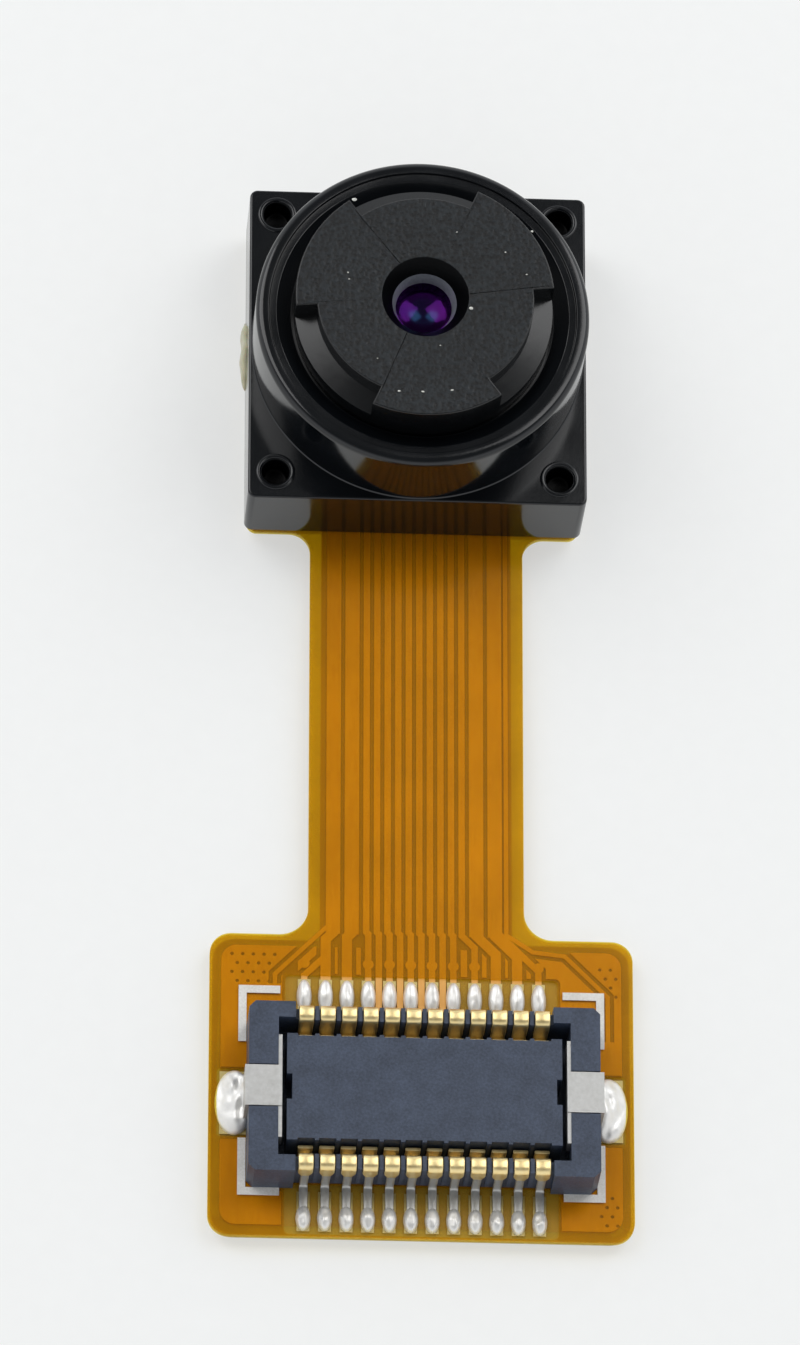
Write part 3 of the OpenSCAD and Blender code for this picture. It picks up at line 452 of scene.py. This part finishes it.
cutters = []
bm = bmesh.new()
block(bm, lambda inset: roundedRect(holder["cavity"], holder["cavity"], holder["cavityCorner"], inset),
      [(0, foot - 0.5), (0, shelfTop - holder["shelf"])])
cutters.append(makeObject(bm, "cavityCutter", ["holder"]))
bm = bmesh.new()
block(bm, lambda inset: roundedRect(*holder["light"], holder["lightCorner"], inset),
      [(0, foot + 0.5), (0, baseTop - 0.05)])
cutters.append(makeObject(bm, "lightCutter", ["holder"]))
bm = bmesh.new()
cupInner = holder["cupRadius"] - holder["cupWall"]
lathe(bm, [(0, shelfTop), (cupInner, shelfTop), (cupInner, rimTop), (0, rimTop)], steps=192)
cutters.append(makeObject(bm, "cupCutter", ["holder"]))
bm = bmesh.new()
recessR, floorRound, lip = holder["recessRadius"], holder["recessFloor"], holder["recessLip"]
recessFloor = baseTop - holder["recessDepth"]
clearOfBase = baseTop + 0.2
recess = [(0, recessFloor)] + arc(recessR - floorRound, recessFloor + floorRound, floorRound, -90, 0, 4)
recess += arc(recessR + lip, baseTop - lip, lip, 180, 90, 4)[:-1]
recess += [(recessR + lip, clearOfBase), (0, clearOfBase)]
atRecesses(bm, recess)
# The recess walls take the near black of painted shade
cutters.append(makeObject(bm, "recessCutter", ["shadedPit"]))
cutBy(baseBlock, cutters)
resharpen(baseBlock)

bm = bmesh.new()
collarRadius = holder["collarRadius"]
stepZ = rimTop - holder["stepDepth"]
throatZ = stepZ - holder["funnelHeight"]
throatEnd = throatZ - holder["cupWall"]
collar = rounded([(cupInner, shelfTop, 0),
                  (collarRadius + holder["root"], shelfTop, 0),
                  (collarRadius + holder["root"], baseTop, 0),
                  (collarRadius, baseTop + holder["root"], holder["rootRound"]),
                  (collarRadius, rimTop, holder["lip"]),
                  (holder["stepRadius"], rimTop, holder["stepEdge"]),
                  (holder["stepRadius"], stepZ, holder["stepCorner"]),
                  (holder["mouthRadius"], stepZ, holder["mouthEdge"]),
                  (holder["throatRadius"], throatZ, holder["mouthEdge"]),
                  (holder["cupRadius"], throatZ, holder["throatEdge"]),
                  (holder["cupRadius"], throatEnd, 0),
                  (cupInner, throatEnd, 0)], steps=8)
lathe(bm, collar, steps=360)
ringR, ringH, ringRound = holder["ringRadius"], holder["ringHeight"], holder["ringRound"]
ring = [(recessR + lip, baseTop - footEdge), (ringR, baseTop - footEdge)]
ring += arc(ringR - ringRound, baseTop, ringH, 0, 90, 3)
ring += arc(recessR + lip + ringRound, baseTop, ringH, 90, 180, 3)
atRecesses(bm, ring)
collarPart = makeObject(bm, "collar", ["holder"])

bm = bmesh.new()
bm.from_mesh(baseBlock.data)
bm.from_mesh(collarPart.data)
bm.to_mesh(baseBlock.data)
bm.free()
bpy.data.objects.remove(collarPart)
useModifiers(baseBlock, evenNormals)
place(baseBlock, "holder_resin", "lens_holder")
print("lens holder done")

# lens barrel: three lugs, sloping notch floors, conical mouth

barrel = {"lugRadius": 2.45, "neckRadius": 2.06, "lugs": 3, "lugAngle": 60.0, "firstLug": 36.0,
          "notchDepth": 0.4, "notchFall": 0.14, "mouthRadius": 0.83, "mouthEdge": 0.02, "mouthDepth": 0.3,
          "floorRadius": 0.61, "floorEdge": 0.006, "openingRadius": 0.53, "openingEdge": 0.004, "seat": 0.1,
          "wall": 0.54, "pockets": ((1.3, 0.41), (1.55, 0.46), (1.85, 0.6)), "edge": 0.03, "border": 0.015,
          "arcSteps": 60, "skirtGap": 0.003, "notchLap": 0.02, "notchRise": 0.007, "skirtDepth": 0.2}
low, high = span("lens_barrel")
barrelFoot, face = low.z, high.z
seat = face - barrel["wall"]
lugR, neckR = barrel["lugRadius"], barrel["neckRadius"]
floorIn = face - barrel["notchDepth"]
floorOut = floorIn - barrel["notchFall"]


def lugOutline(inset):  # points of the lugs and necks seen from above, set in by the edge rounding
    points = []
    half = math.radians(barrel["lugAngle"] / 2)
    pitch = 2 * math.pi / barrel["lugs"]
    count = barrel["arcSteps"]
    for i in range(barrel["lugs"]):
        middle = math.radians(barrel["firstLug"]) + i * pitch
        outer, inner = lugR - inset, neckR - inset
        outerHalf = half - math.asin(inset / outer)
        innerHalf = half - math.asin(inset / inner)
        for k in range(count + 1):
            a = middle + outerHalf * (2 * k / count - 1)
            points.append((outer * math.cos(a), outer * math.sin(a)))
        for k in range(count + 1):
            a = middle + innerHalf + (pitch - 2 * innerHalf) * k / count
            points.append((inner * math.cos(a), inner * math.sin(a)))
    return points


def evenRing(radius, z):  # as many points as the lug outline, spread evenly from the same start
    count = len(lugOutline(0))
    start = math.radians(barrel["firstLug"] - barrel["lugAngle"] / 2)
    angles = [start + 2 * math.pi * i / count for i in range(count)]
    return [(radius * math.cos(a), radius * math.sin(a), z) for a in angles]


bm = bmesh.new()
edge = barrel["edge"]
opening, coneFloor = barrel["openingRadius"], face - barrel["mouthDepth"]
rings = [[(x, y, floorOut) for x, y in lugOutline(0)]]
rings += [[(x, y, z) for x, y in lugOutline(edge - out)] for out, z in arc(0, face - edge, edge, 0, 90, 5)]
rings.append([(x, y, face) for x, y in lugOutline(edge + barrel["border"])])
mouth = rounded([(lugR, face - 1, 0), (lugR, face, 0), (barrel["mouthRadius"], face, barrel["mouthEdge"]),
                 (barrel["floorRadius"], coneFloor, barrel["floorEdge"]),
                 (opening, seat, barrel["openingEdge"]), (opening + barrel["seat"], seat, 0)])[2:]
rings += [evenRing(r, z) for r, z in mouth]
z = seat
for radius, height in barrel["pockets"]:
    rings += [evenRing(radius, z), evenRing(radius, z - height)]
    z -= height
lastPocket = barrel["pockets"][-1][0]
rings.append(evenRing(lastPocket, barrelFoot))
stack(bm, rings, capped=False)
# Slot 1 is the mouth cone (near black, painted shade), slot 2 the pupil wall (grey, painted highlight)
shadedMouthSlot, highlightRingSlot, wallSlot = 1, 2, 3
for f in bm.faces:
    middle = f.calc_center_median()
    radius = middle.xy.length
    if radius < barrel["mouthRadius"] - 0.01 and middle.z > seat + 0.002:
        f.material_index = shadedMouthSlot if middle.z > coneFloor else highlightRingSlot
    elif radius > neckR - edge - 0.005 and middle.z < face - 0.002:
        f.material_index = wallSlot
skirt = lugR - barrel["skirtGap"]
skirtProfile = [(lastPocket, barrelFoot), (skirt, barrelFoot), (skirt, floorOut),
                (neckR - barrel["notchLap"], floorIn + barrel["notchRise"]),
                (lastPocket, floorIn - barrel["skirtDepth"])]
existing = set(bm.faces)
lathe(bm, skirtProfile)
for f in bm.faces:
    if f not in existing:
        f.material_index = wallSlot
barrelBody = makeObject(bm, "lens_barrel_body", ["barrel", "shadedPit", "mouthRingHighlight", "lugWall"], sharpAngle=40)
useModifiers(barrelBody, evenNormals)
place(barrelBody, "barrel_resin", "lens_barrel")
print("lens barrel done")

# front lens: strong outer dome, hollow back

frontLens = {"dome": 1.4, "thickness": 0.36, "radius": 1.28, "backBowl": 0.72, "backRadius": 0.5,
             "backRise": 0.13, "backFlat": 0.01, "frontDepth": 0.03}


def domePoints(curve, reach, base, steps):  # from the axis out to the rim
    sag = curve - math.sqrt(curve ** 2 - reach ** 2)
    return [(reach * i / steps, base + sag - curve + math.sqrt(curve ** 2 - (reach * i / steps) ** 2))
            for i in range(steps + 1)]


bm = bmesh.new()
back = seat - frontLens["thickness"]
bowl = domePoints(frontLens["backBowl"], frontLens["backRadius"], 0, 16)
outline = [(r, back + frontLens["backRise"] + bowl[-1][1] - z) for r, z in bowl]
outline += [(frontLens["backRadius"] + frontLens["backFlat"], back), (frontLens["radius"], back),
            (frontLens["radius"], seat)]
outline += domePoints(frontLens["dome"], opening, seat, 20)[::-1]
lathe(bm, outline, steps=128)
# The lens's back faces get the near black of painted shade
for f in bm.faces:
    if f.calc_center_median().z < seat - frontLens["frontDepth"]:
        f.material_index = 1
lensDome = makeObject(bm, "front_lens_glass", ["lens", "shadedLensBack"])
place(lensDome, "lens_resin", "front_lens")
print("front lens done")

# flexible circuit: three amber films round two copper layers

flex = {"head": 6.35, "headCorner": 0.2, "headFillet": 0.42, "strip": 4.06, "stripX": 0.08,
        "boardLength": 5.98, "boardCorner": 0.4, "boardFillet": 0.55, "slip": 0.0006,
        "padLength": 0.78, "padMargin": 0.48, "padWindow": 0.98, "padWindowIn": 0.03,
        "padWindowCorner": 0.1, "fitWindow": (0.72, 1.34), "fitWindowIn": 0.31, "fitWindowCorner": 0.05,
        "headHole": (5.2, 5.2, 0.4)}
low, high = span("flex_film")
boardLow, boardHigh, boardBottom = low.x, high.x, low.y
boardTop = boardBottom + flex["boardLength"]
headHalf = flex["head"] / 2
stripLeft = flex["stripX"] - flex["strip"] / 2
stripRight = flex["stripX"] + flex["strip"] / 2
holderEdge = -baseSide / 2


def filmOutline():
    hf, bf, c = flex["headFillet"], flex["boardFillet"], flex["boardCorner"]
    turns = [(headHalf, headHalf, flex["headCorner"]), (-headHalf, headHalf, flex["headCorner"]),
             (-headHalf, holderEdge, flex["headCorner"]), (stripLeft, holderEdge, hf),
             (stripLeft, boardTop, bf), (boardLow, boardTop, c), (boardLow, boardBottom, c),
             (boardHigh, boardBottom, c), (boardHigh, boardTop, c), (stripRight, boardTop, bf),
             (stripRight, holderEdge, hf), (headHalf, holderEdge, flex["headCorner"])]
    return rounded(turns, steps=10)


def filmSlab(name, lower, upper, finish, openings):
    bm = bmesh.new()
    loops = [filmOutline()] + openings
    for z in (lower, upper):
        edges = []
        for loop in loops:
            verts = [bm.verts.new((x, y, z)) for x, y in loop]
            edges += [bm.edges.new((verts[i], verts[(i + 1) % len(verts)])) for i in range(len(verts))]
        bmesh.ops.triangle_fill(bm, use_beauty=True, use_dissolve=False, edges=edges)
    bm.verts.ensure_lookup_table()
    count = sum(len(loop) for loop in loops)
    start = 0
    for loop in loops:
        n = len(loop)
        for i in range(n):
            a, b = start + i, start + (i + 1) % n
            bm.faces.new((bm.verts[a], bm.verts[b], bm.verts[b + count], bm.verts[a + count]))
        start += n
    return makeObject(bm, name, [finish])


def windowRect(x, y, width, length, radius):
    return [(x + px, y + py) for px, py in roundedRect(width, length, radius, steps=4)][::-1]


low, high = span("connector_housing")
plug = {"x": (low.x + high.x) / 2, "y": (low.y + high.y) / 2, "half": (high.x - low.x) / 2, "base": low.z}
padLow, padHigh = span("contact_pads")
padOut = padHigh.y - plug["y"]
windowWidth = padHigh.x - padLow.x + flex["padMargin"]
windowY = padOut - flex["padLength"] / 2 - flex["padWindowIn"]
fitLow, fitHigh = span("fitting_pads")
fitX = (fitHigh.x - fitLow.x) / 2 - flex["fitWindowIn"]
openings = [windowRect(plug["x"], plug["y"] + s * windowY, windowWidth, flex["padWindow"],
                       flex["padWindowCorner"]) for s in (-1, 1)]
openings += [windowRect(plug["x"] + s * fitX, plug["y"], *flex["fitWindow"], flex["fitWindowCorner"])
             for s in (-1, 1)]
openings.append(windowRect(0, 0, *flex["headHole"]))
copperTop = span("copper_traces")[1].z
filmTop = span("coverlay")[1].z
baseLow, baseHigh = span("flex_film")
backLow = span("back_coverlay")[0].z
groundLow = span("ground_plane")[0].z
slip = flex["slip"]
coverFilm = filmSlab("cover_film", copperTop + slip, filmTop, "coverFilm", openings)
place(coverFilm, "cover_film", "coverlay")
baseFilm = filmSlab("base_film", baseLow.z + slip, baseHigh.z - slip, "baseFilm", [])
place(baseFilm, "polyimide", "flex_film")
backFilm = filmSlab("back_film", backLow, groundLow - slip, "baseFilm", [])
place(backFilm, "cover_film", "back_coverlay")
print("flexible circuit done")

# contacts: gold strip bent over the side walls, tails on the board

contact = {"thickness": 0.06, "width": 0.28, "tail": 0.16, "legOut": 1.62, "wall": 0.2, "bend": 0.06,
           "bendSteps": 8, "islandHalf": 1.05, "gap": 0.01, "floor": 0.15, "spring": 0.5,
           "shoulder": 0.3, "taper": 0.14, "gold": 0.42, "goldLap": 0.05, "step": 0.05,
           "softEdge": 0.018, "pillow": 0.012, "pillowReach": 0.12, "perRow": 12}
rowNumbers = range(1, contact["perRow"] + 1)
names = [f"contact_{row}{i:02d}" for row in "ab" for i in rowNumbers]
low, high = span(names[0])
padTop = low.z
tailOut = high.y - plug["y"]
contactTop = high.z - padTop


def contactPath():  # centre line from the tail's end up, over the wall and down to the spring
    t = contact["thickness"]
    leg, top = contact["legOut"] - t / 2, contactTop - t / 2
    inner = contact["legOut"] - t - contact["wall"] - t / 2
    lowest = plug["base"] - padTop + contact["floor"] + contact["gap"] + t / 2
    spring = contact["islandHalf"] + contact["gap"] + t / 2
    springTop = lowest + contact["spring"] - t / 2
    turns = [Vector(turn) for turn in ((tailOut, t / 2), (leg, t / 2), (leg, top), (inner, top),
                                       (inner, lowest), (spring, lowest), (spring, springTop))]
    radius = contact["bend"] + t / 2
    points = [turns[0]]
    for before, here, after in zip(turns, turns[1:], turns[2:]):
        a, b = (before - here).normalized(), (after - here).normalized()
        centre = here + (a + b) * radius
        for k in range(contact["bendSteps"] + 1):
            angle = math.pi / 2 * k / contact["bendSteps"]
            points.append(centre - b * radius * math.cos(angle) - a * radius * math.sin(angle))
    points.append(turns[-1])
    return points, leg


def contactWidth(point, leg):
    shoulder = contactTop - contact["shoulder"]
    if point.x < leg - contact["thickness"] / 2 or point.y >= shoulder:
        return contact["width"]
    if point.y <= shoulder - contact["taper"]:
        return contact["tail"]
    share = (point.y - shoulder + contact["taper"]) / contact["taper"]
    return contact["tail"] + (contact["width"] - contact["tail"]) * share


def buildContact(bm, x, side):
    path, leg = contactPath()
    dense = []
    for a, b in zip(path, path[1:]):
        pieces = max(1, int((b - a).length / contact["step"]))
        dense += [a.lerp(b, i / pieces) for i in range(pieces)]
    dense.append(path[-1])
    flat, soft = contact["thickness"] / 2, contact["softEdge"]
    rings = []
    for i, point in enumerate(dense):
        along = (dense[min(i + 1, len(dense) - 1)] - dense[max(i - 1, 0)]).normalized()
        across = Vector((-along.y, along.x))
        half = contactWidth(point, leg) / 2
        corners = [(half, flat, soft), (-half, flat, soft), (-half, -flat, soft), (half, -flat, soft)]
        onBend = point.y > contactTop - contact["pillowReach"]
        crown = contact["pillow"] if onBend else 0.0  # the bends are slightly pillowed
        ring = []
        for sx, sn in rounded(corners, steps=2):
            lift = crown * (1 - (sx / half) ** 2) * (1 if sn < 0 else 0)
            at = point + across * (sn - lift)
            ring.append((x + sx, plug["y"] + side * at.x, padTop + at.y))
        rings.append(ring)
    stack(bm, rings)
    for f in bm.faces:
        middle = f.calc_center_median()
        beyond = abs(middle.y - plug["y"]) > leg - contact["goldLap"]
        if beyond and middle.z < padTop + contactTop - contact["gold"]:
            f.material_index = 1


for name in names:
    low, high = span(name)
    bm = bmesh.new()
    buildContact(bm, (low.x + high.x) / 2, 1 if name[8] == "a" else -1)
    place(makeObject(bm, name + "_strip", ["gold", "tin"], sharpAngle=50), "gold_plate", name)
print("contacts done")

# solder: fillets on the tails and heaps on the hold-down fittings

solder = {"crown": 0.15, "padWidth": 0.28, "padGap": 0.01, "reach": {"a": 0.66, "b": 0.5},
          "seed": {"a": 20, "b": 0}, "unevenness": 0.18, "lumpsPerJoint": 1.7, "lean": 0.15,
          "heap": 0.42, "heapOut": 0.23, "heapHalf": (0.36, 0.64), "heapUnevenness": 0.45,
          "lumpsPerHeap": 2.2, "heapFoot": 0.62, "heapLean": 0.5, "cornerPull": 0.5}


def solderPatch(bm, centreX, centreY, halfX, halfY, heightAt, steps=(14, 22)):
    nx, ny = steps
    pull = solder["cornerPull"]
    grid = []
    for j in range(ny + 1):
        row = []
        for i in range(nx + 1):
            u, v = 2 * i / nx - 1, 2 * j / ny - 1
            x = u * math.sqrt(max(0.0, 1 - pull * v * v))
            y = v * math.sqrt(max(0.0, 1 - pull * u * u))
            row.append(bm.verts.new((centreX + x * halfX, centreY + y * halfY, padTop + heightAt(x, y))))
        grid.append(row)
    for j in range(ny):
        for i in range(nx):
            bm.faces.new((grid[j][i], grid[j][i + 1], grid[j + 1][i + 1], grid[j + 1][i]))
    border = grid[0][:-1] + [row[-1] for row in grid[:-1]]
    border += grid[-1][:0:-1] + [row[0] for row in grid[:0:-1]]
    bm.faces.new(border[::-1])


def domeShare(x, y):  # 1 in the middle of a joint, 0 at its rim
    return math.sqrt(max(0.0, 1 - x * x - y * y))


def jointHeight(seed, side):
    def height(x, y):
        scale = solder["lumpsPerJoint"]
        lumps = noise.noise(Vector((x * scale, y * scale, seed * 3.1)))
        dome = solder["crown"] * domeShare(x, y)
        return dome * (1 + solder["unevenness"] * lumps) * (1 + solder["lean"] * side * y)
    return height


def heapHeight(side):
    def height(x, y):
        scale = solder["lumpsPerHeap"]
        lumps = noise.noise(Vector((x * scale + side, y * scale, 4.0 + side)))
        slope = solder["heapFoot"] - solder["heapLean"] * side * x
        return solder["heap"] * domeShare(x, y) * slope * (1 + solder["heapUnevenness"] * lumps)
    return height


for node, row, side in (("solder_upper", "a", 1), ("solder_lower", "b", -1)):
    bm = bmesh.new()
    reach = solder["reach"][row]
    centreY = plug["y"] + side * (padOut - reach / 2 - solder["padGap"])
    for i in rowNumbers:
        low, high = span(f"contact_{row}{i:02d}")
        solderPatch(bm, (low.x + high.x) / 2, centreY, solder["padWidth"] / 2, reach / 2,
                    jointHeight(i + solder["seed"][row], side))
    place(makeObject(bm, node + "_joints", ["solder"], sharpAngle=80), "solder", node)

bm = bmesh.new()
for side in (-1, 1):
    centreX = plug["x"] + side * (plug["half"] + solder["heapOut"])
    solderPatch(bm, centreX, plug["y"], *solder["heapHalf"], heapHeight(side), steps=(28, 40))
place(makeObject(bm, "solder_heaps", ["solder"], sharpAngle=80), "solder", "solder_fittings")
print("solder done")

# pale glue squeezed out along the holder's left wall

glue = {"half": 0.72, "out": 0.1, "rise": 0.62, "sections": 24, "arcSteps": 8, "thinnest": 0.02,
        "unevenness": 0.3, "lumps": 2.5, "swing": 0.25, "sink": 0.01, "bulge": 0.8}
low, high = span("glue_bead")
bm = bmesh.new()
glueY = (low.y + high.y) / 2
wallX = -baseSide / 2
quarterTurn = [math.pi / 2 * k / glue["arcSteps"] for k in range(glue["arcSteps"] + 1)]
rings = []
for i in range(glue["sections"] + 1):
    v = i / glue["sections"] * 2 - 1
    lumps = noise.noise(Vector((v * glue["lumps"], 0, 9)))
    swell = max(math.sqrt(max(0.0, 1 - v * v)) * (1 + glue["unevenness"] * lumps), glue["thinnest"])
    out = glue["out"] * swell
    rise = glue["rise"] * swell * (1 - glue["swing"] + glue["swing"] * math.sin(3 * v + 1))
    y = glueY + v * glue["half"]
    section = [(wallX + glue["sink"], y, foot), (wallX + glue["sink"], y, foot + rise)]
    section += [(wallX - out * math.sin(a) ** glue["bulge"], y, foot + rise * math.cos(a))
                for a in quarterTurn]
    rings.append(section)
stack(bm, rings)
place(makeObject(bm, "glue_smear", ["paleGlue"], sharpAngle=80), "pale_glue", "glue_bead")
print("glue done")

# dust on the head; the three specks on the bottom lug are painted highlights of small moulded bumps

dustAndGlints = {"count": 7, "small": 0.01, "large": 0.018, "band": (0.95, 2.0), "stretch": (0.75, 1.2),
        "shape": (1.3, 0.8, 0.5), "sit": 0.25, "seed": 11,
        "placed": ((-1.35, 1.98, 0.045), (0.86, -0.22, 0.04), (2.02, 1.42, 0.026), (-0.5, -1.98, 0.024),
                   (-0.05, -1.98, 0.026), (0.5, -1.93, 0.022))}
random.seed(dustAndGlints["seed"])
bm = bmesh.new()
specks = list(dustAndGlints["placed"])
for i in range(dustAndGlints["count"]):
    a, r = random.uniform(0, 2 * math.pi), random.uniform(*dustAndGlints["band"])
    specks.append((r * math.cos(a), r * math.sin(a), random.uniform(dustAndGlints["small"], dustAndGlints["large"])))
for x, y, size in specks:
    made = bmesh.ops.create_icosphere(bm, subdivisions=1, radius=size)["verts"]
    angle = random.uniform(0, 3)
    axis = Vector((random.random(), random.random(), random.random())).normalized()
    turn = Matrix.Rotation(angle, 3, axis)
    seatOfSpeck = Vector((x, y, face + size * dustAndGlints["sit"]))
    for v in made:
        v.co = (turn @ v.co) * Vector(dustAndGlints["shape"]) * random.uniform(*dustAndGlints["stretch"]) + seatOfSpeck
place(makeObject(bm, "glint_and_dust_specks", ["dustAndGlints"], sharpAngle=20), "pale_glue")
print("dust done")

# finishes on the CAD nodes that stay

kept = {"aperture_stop": "innerBlack", "middle_lens": "rearLens", "lens_spacer": "innerBlack",
        "rear_lens": "rearLens", "lens_retainer": "innerBlack", "ir_filter": "filter",
        "image_sensor": "silicon", "die_adhesive": "blackGlue", "bond_wires": "goldWire",
        "capacitors": "ceramic", "capacitor_ends": "tin", "holder_adhesive": "blackGlue",
        "copper_traces": "copper", "ground_plane": "shadedGroundCopper", "sensor_stiffener": "stainless",
        "connector_stiffener": "laminate", "contact_pads": "goldPad", "fitting_pads": "goldPad",
        "legend_marks": "ink", "connector_housing": "connector",
        "fitting_left": "tin", "fitting_right": "tin"}
softened = {"connector_housing": 0.022, "fitting_left": 0.02, "fitting_right": 0.02,
            "sensor_stiffener": 0.02, "connector_stiffener": 0.02,
            "capacitors": 0.01, "capacitor_ends": 0.02}
for node, finish in kept.items():
    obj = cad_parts[node]
    obj.data.materials.clear()
    obj.data.materials.append(finishes[finish])
    if node in softened:
        useModifiers(obj, ("DECIMATE", {"decimate_type": "DISSOLVE", "angle_limit": math.radians(1)}),
                     ("BEVEL", {"width": softened[node] * mm, "segments": 3, "limit_method": "ANGLE",
                                "angle_limit": math.radians(40)}), evenNormals)
print("CAD nodes dressed")

# floor, lamps and camera; places of the floor and the lamps are in metres

lampSize, lampPower = (0.12, 0.2), 0.19
studio = {"floor": ("#eff0ef", "#f5f6f5"), "fibre": 0.4, "glow": "#fdfefd", "floorSize": 1.2,
          "skyColour": "#f8fbff", "skyFrom": 0.35, "skyTo": 0.9, "skyLow": 1.0, "skyHigh": 0.16,
          "shadowShare": 0.5,
          "lamps": {"softbox left": (-0.12, 0.094, 0.185), "softbox right": (0.12, 0.094, 0.185)}}
bm = bmesh.new()
half = studio["floorSize"] / 2
bm.faces.new([bm.verts.new((x * half, y * half, 0)) for x, y in ((-1, -1), (1, -1), (1, 1), (-1, 1))])
floorMesh = bpy.data.meshes.new("floor")
bm.to_mesh(floorMesh)
bm.free()
floor = bpy.data.objects.new("floor", floorMesh)
scene.collection.objects.link(floor)
# Matt card with a 0.4 mm fibre. Seen directly or mirrored it also glows, so that it stays nearly white
floorFinish, tree = newMaterial("Matt white card")
tone = hexMix(tree, cloudNoise(tree, objectSpace(tree), studio["fibre"], 3.0), *studio["floor"])
card = addNode(tree, "BsdfDiffuse", {}, {"Color": tone})
lit = addNode(tree, "Emission", {}, {"Color": hexColour(studio["glow"]), "Strength": 1.0})
pale = mixShaders(tree, studio["shadowShare"], lit, card)
ray = addNode(tree, "LightPath", {}, {})
seen = ray.outputs["Is Camera Ray"]
for kind in ("Is Glossy Ray", "Is Transmission Ray"):
    seen = addNode(tree, "Math", {"operation": "MAXIMUM"}, {0: seen, 1: ray.outputs[kind]}).outputs[0]
showShader(tree, mixShaders(tree, seen, card, pale))
floorMesh.materials.append(floorFinish)

world = bpy.data.worlds.new("studio")
scene.world = world
world.use_nodes = True
tree = world.node_tree
tree.nodes.clear()
sky = addNode(tree, "TexCoord", {}, {})
height = addNode(tree, "SeparateXYZ", {}, {0: sky.outputs["Generated"]})
level = addNode(tree, "MapRange", {"interpolation_type": "SMOOTHSTEP"},
                {0: height.outputs["Z"], 1: studio["skyFrom"], 2: studio["skyTo"],
                 3: studio["skyLow"], 4: studio["skyHigh"]})
glow = addNode(tree, "Background", {}, {"Color": hexColour(studio["skyColour"]),
                                        "Strength": level.outputs[0]})
addNode(tree, "OutputWorld", {}, {"Surface": glow.outputs[0]})

for name, where in studio["lamps"].items():
    lamp = bpy.data.lights.new(name, "AREA")
    lamp.shape = "RECTANGLE"
    lamp.size, lamp.size_y = lampSize
    lamp.energy = lampPower
    stand = bpy.data.objects.new(name, lamp)
    scene.collection.objects.link(stand)
    stand.location = where
    stand.rotation_euler = (-Vector(where)).to_track_quat("-Z", "Y").to_euler()

view = {"aim": (-0.23, -6.09, 0.35), "azimuth": -8.605, "elevation": 66.79, "roll": 9.4076,
        "distance": 177.614, "lens": 250.19}
az, el = math.radians(view["azimuth"]), math.radians(view["elevation"])
towardsCamera = Vector((math.sin(az) * math.cos(el), -math.cos(az) * math.cos(el), math.sin(el)))
cameraData = bpy.data.cameras.new("camera")
cameraData.lens = view["lens"]
cameraData.sensor_width = 36.0
cameraData.sensor_fit = "AUTO"
cameraData.clip_start = 0.01
cameraData.clip_end = 10.0
camera = bpy.data.objects.new("camera", cameraData)
scene.collection.objects.link(camera)
camera.location = (Vector(view["aim"]) + towardsCamera * view["distance"]) * mm
facing = towardsCamera.to_track_quat("Z", "Y").to_matrix()
camera.rotation_euler = (facing @ Matrix.Rotation(math.radians(view["roll"]), 3, "Z")).to_euler()
scene.camera = camera
scene.view_settings.view_transform = "Standard"
print("studio done")

bpy.context.view_layer.update()
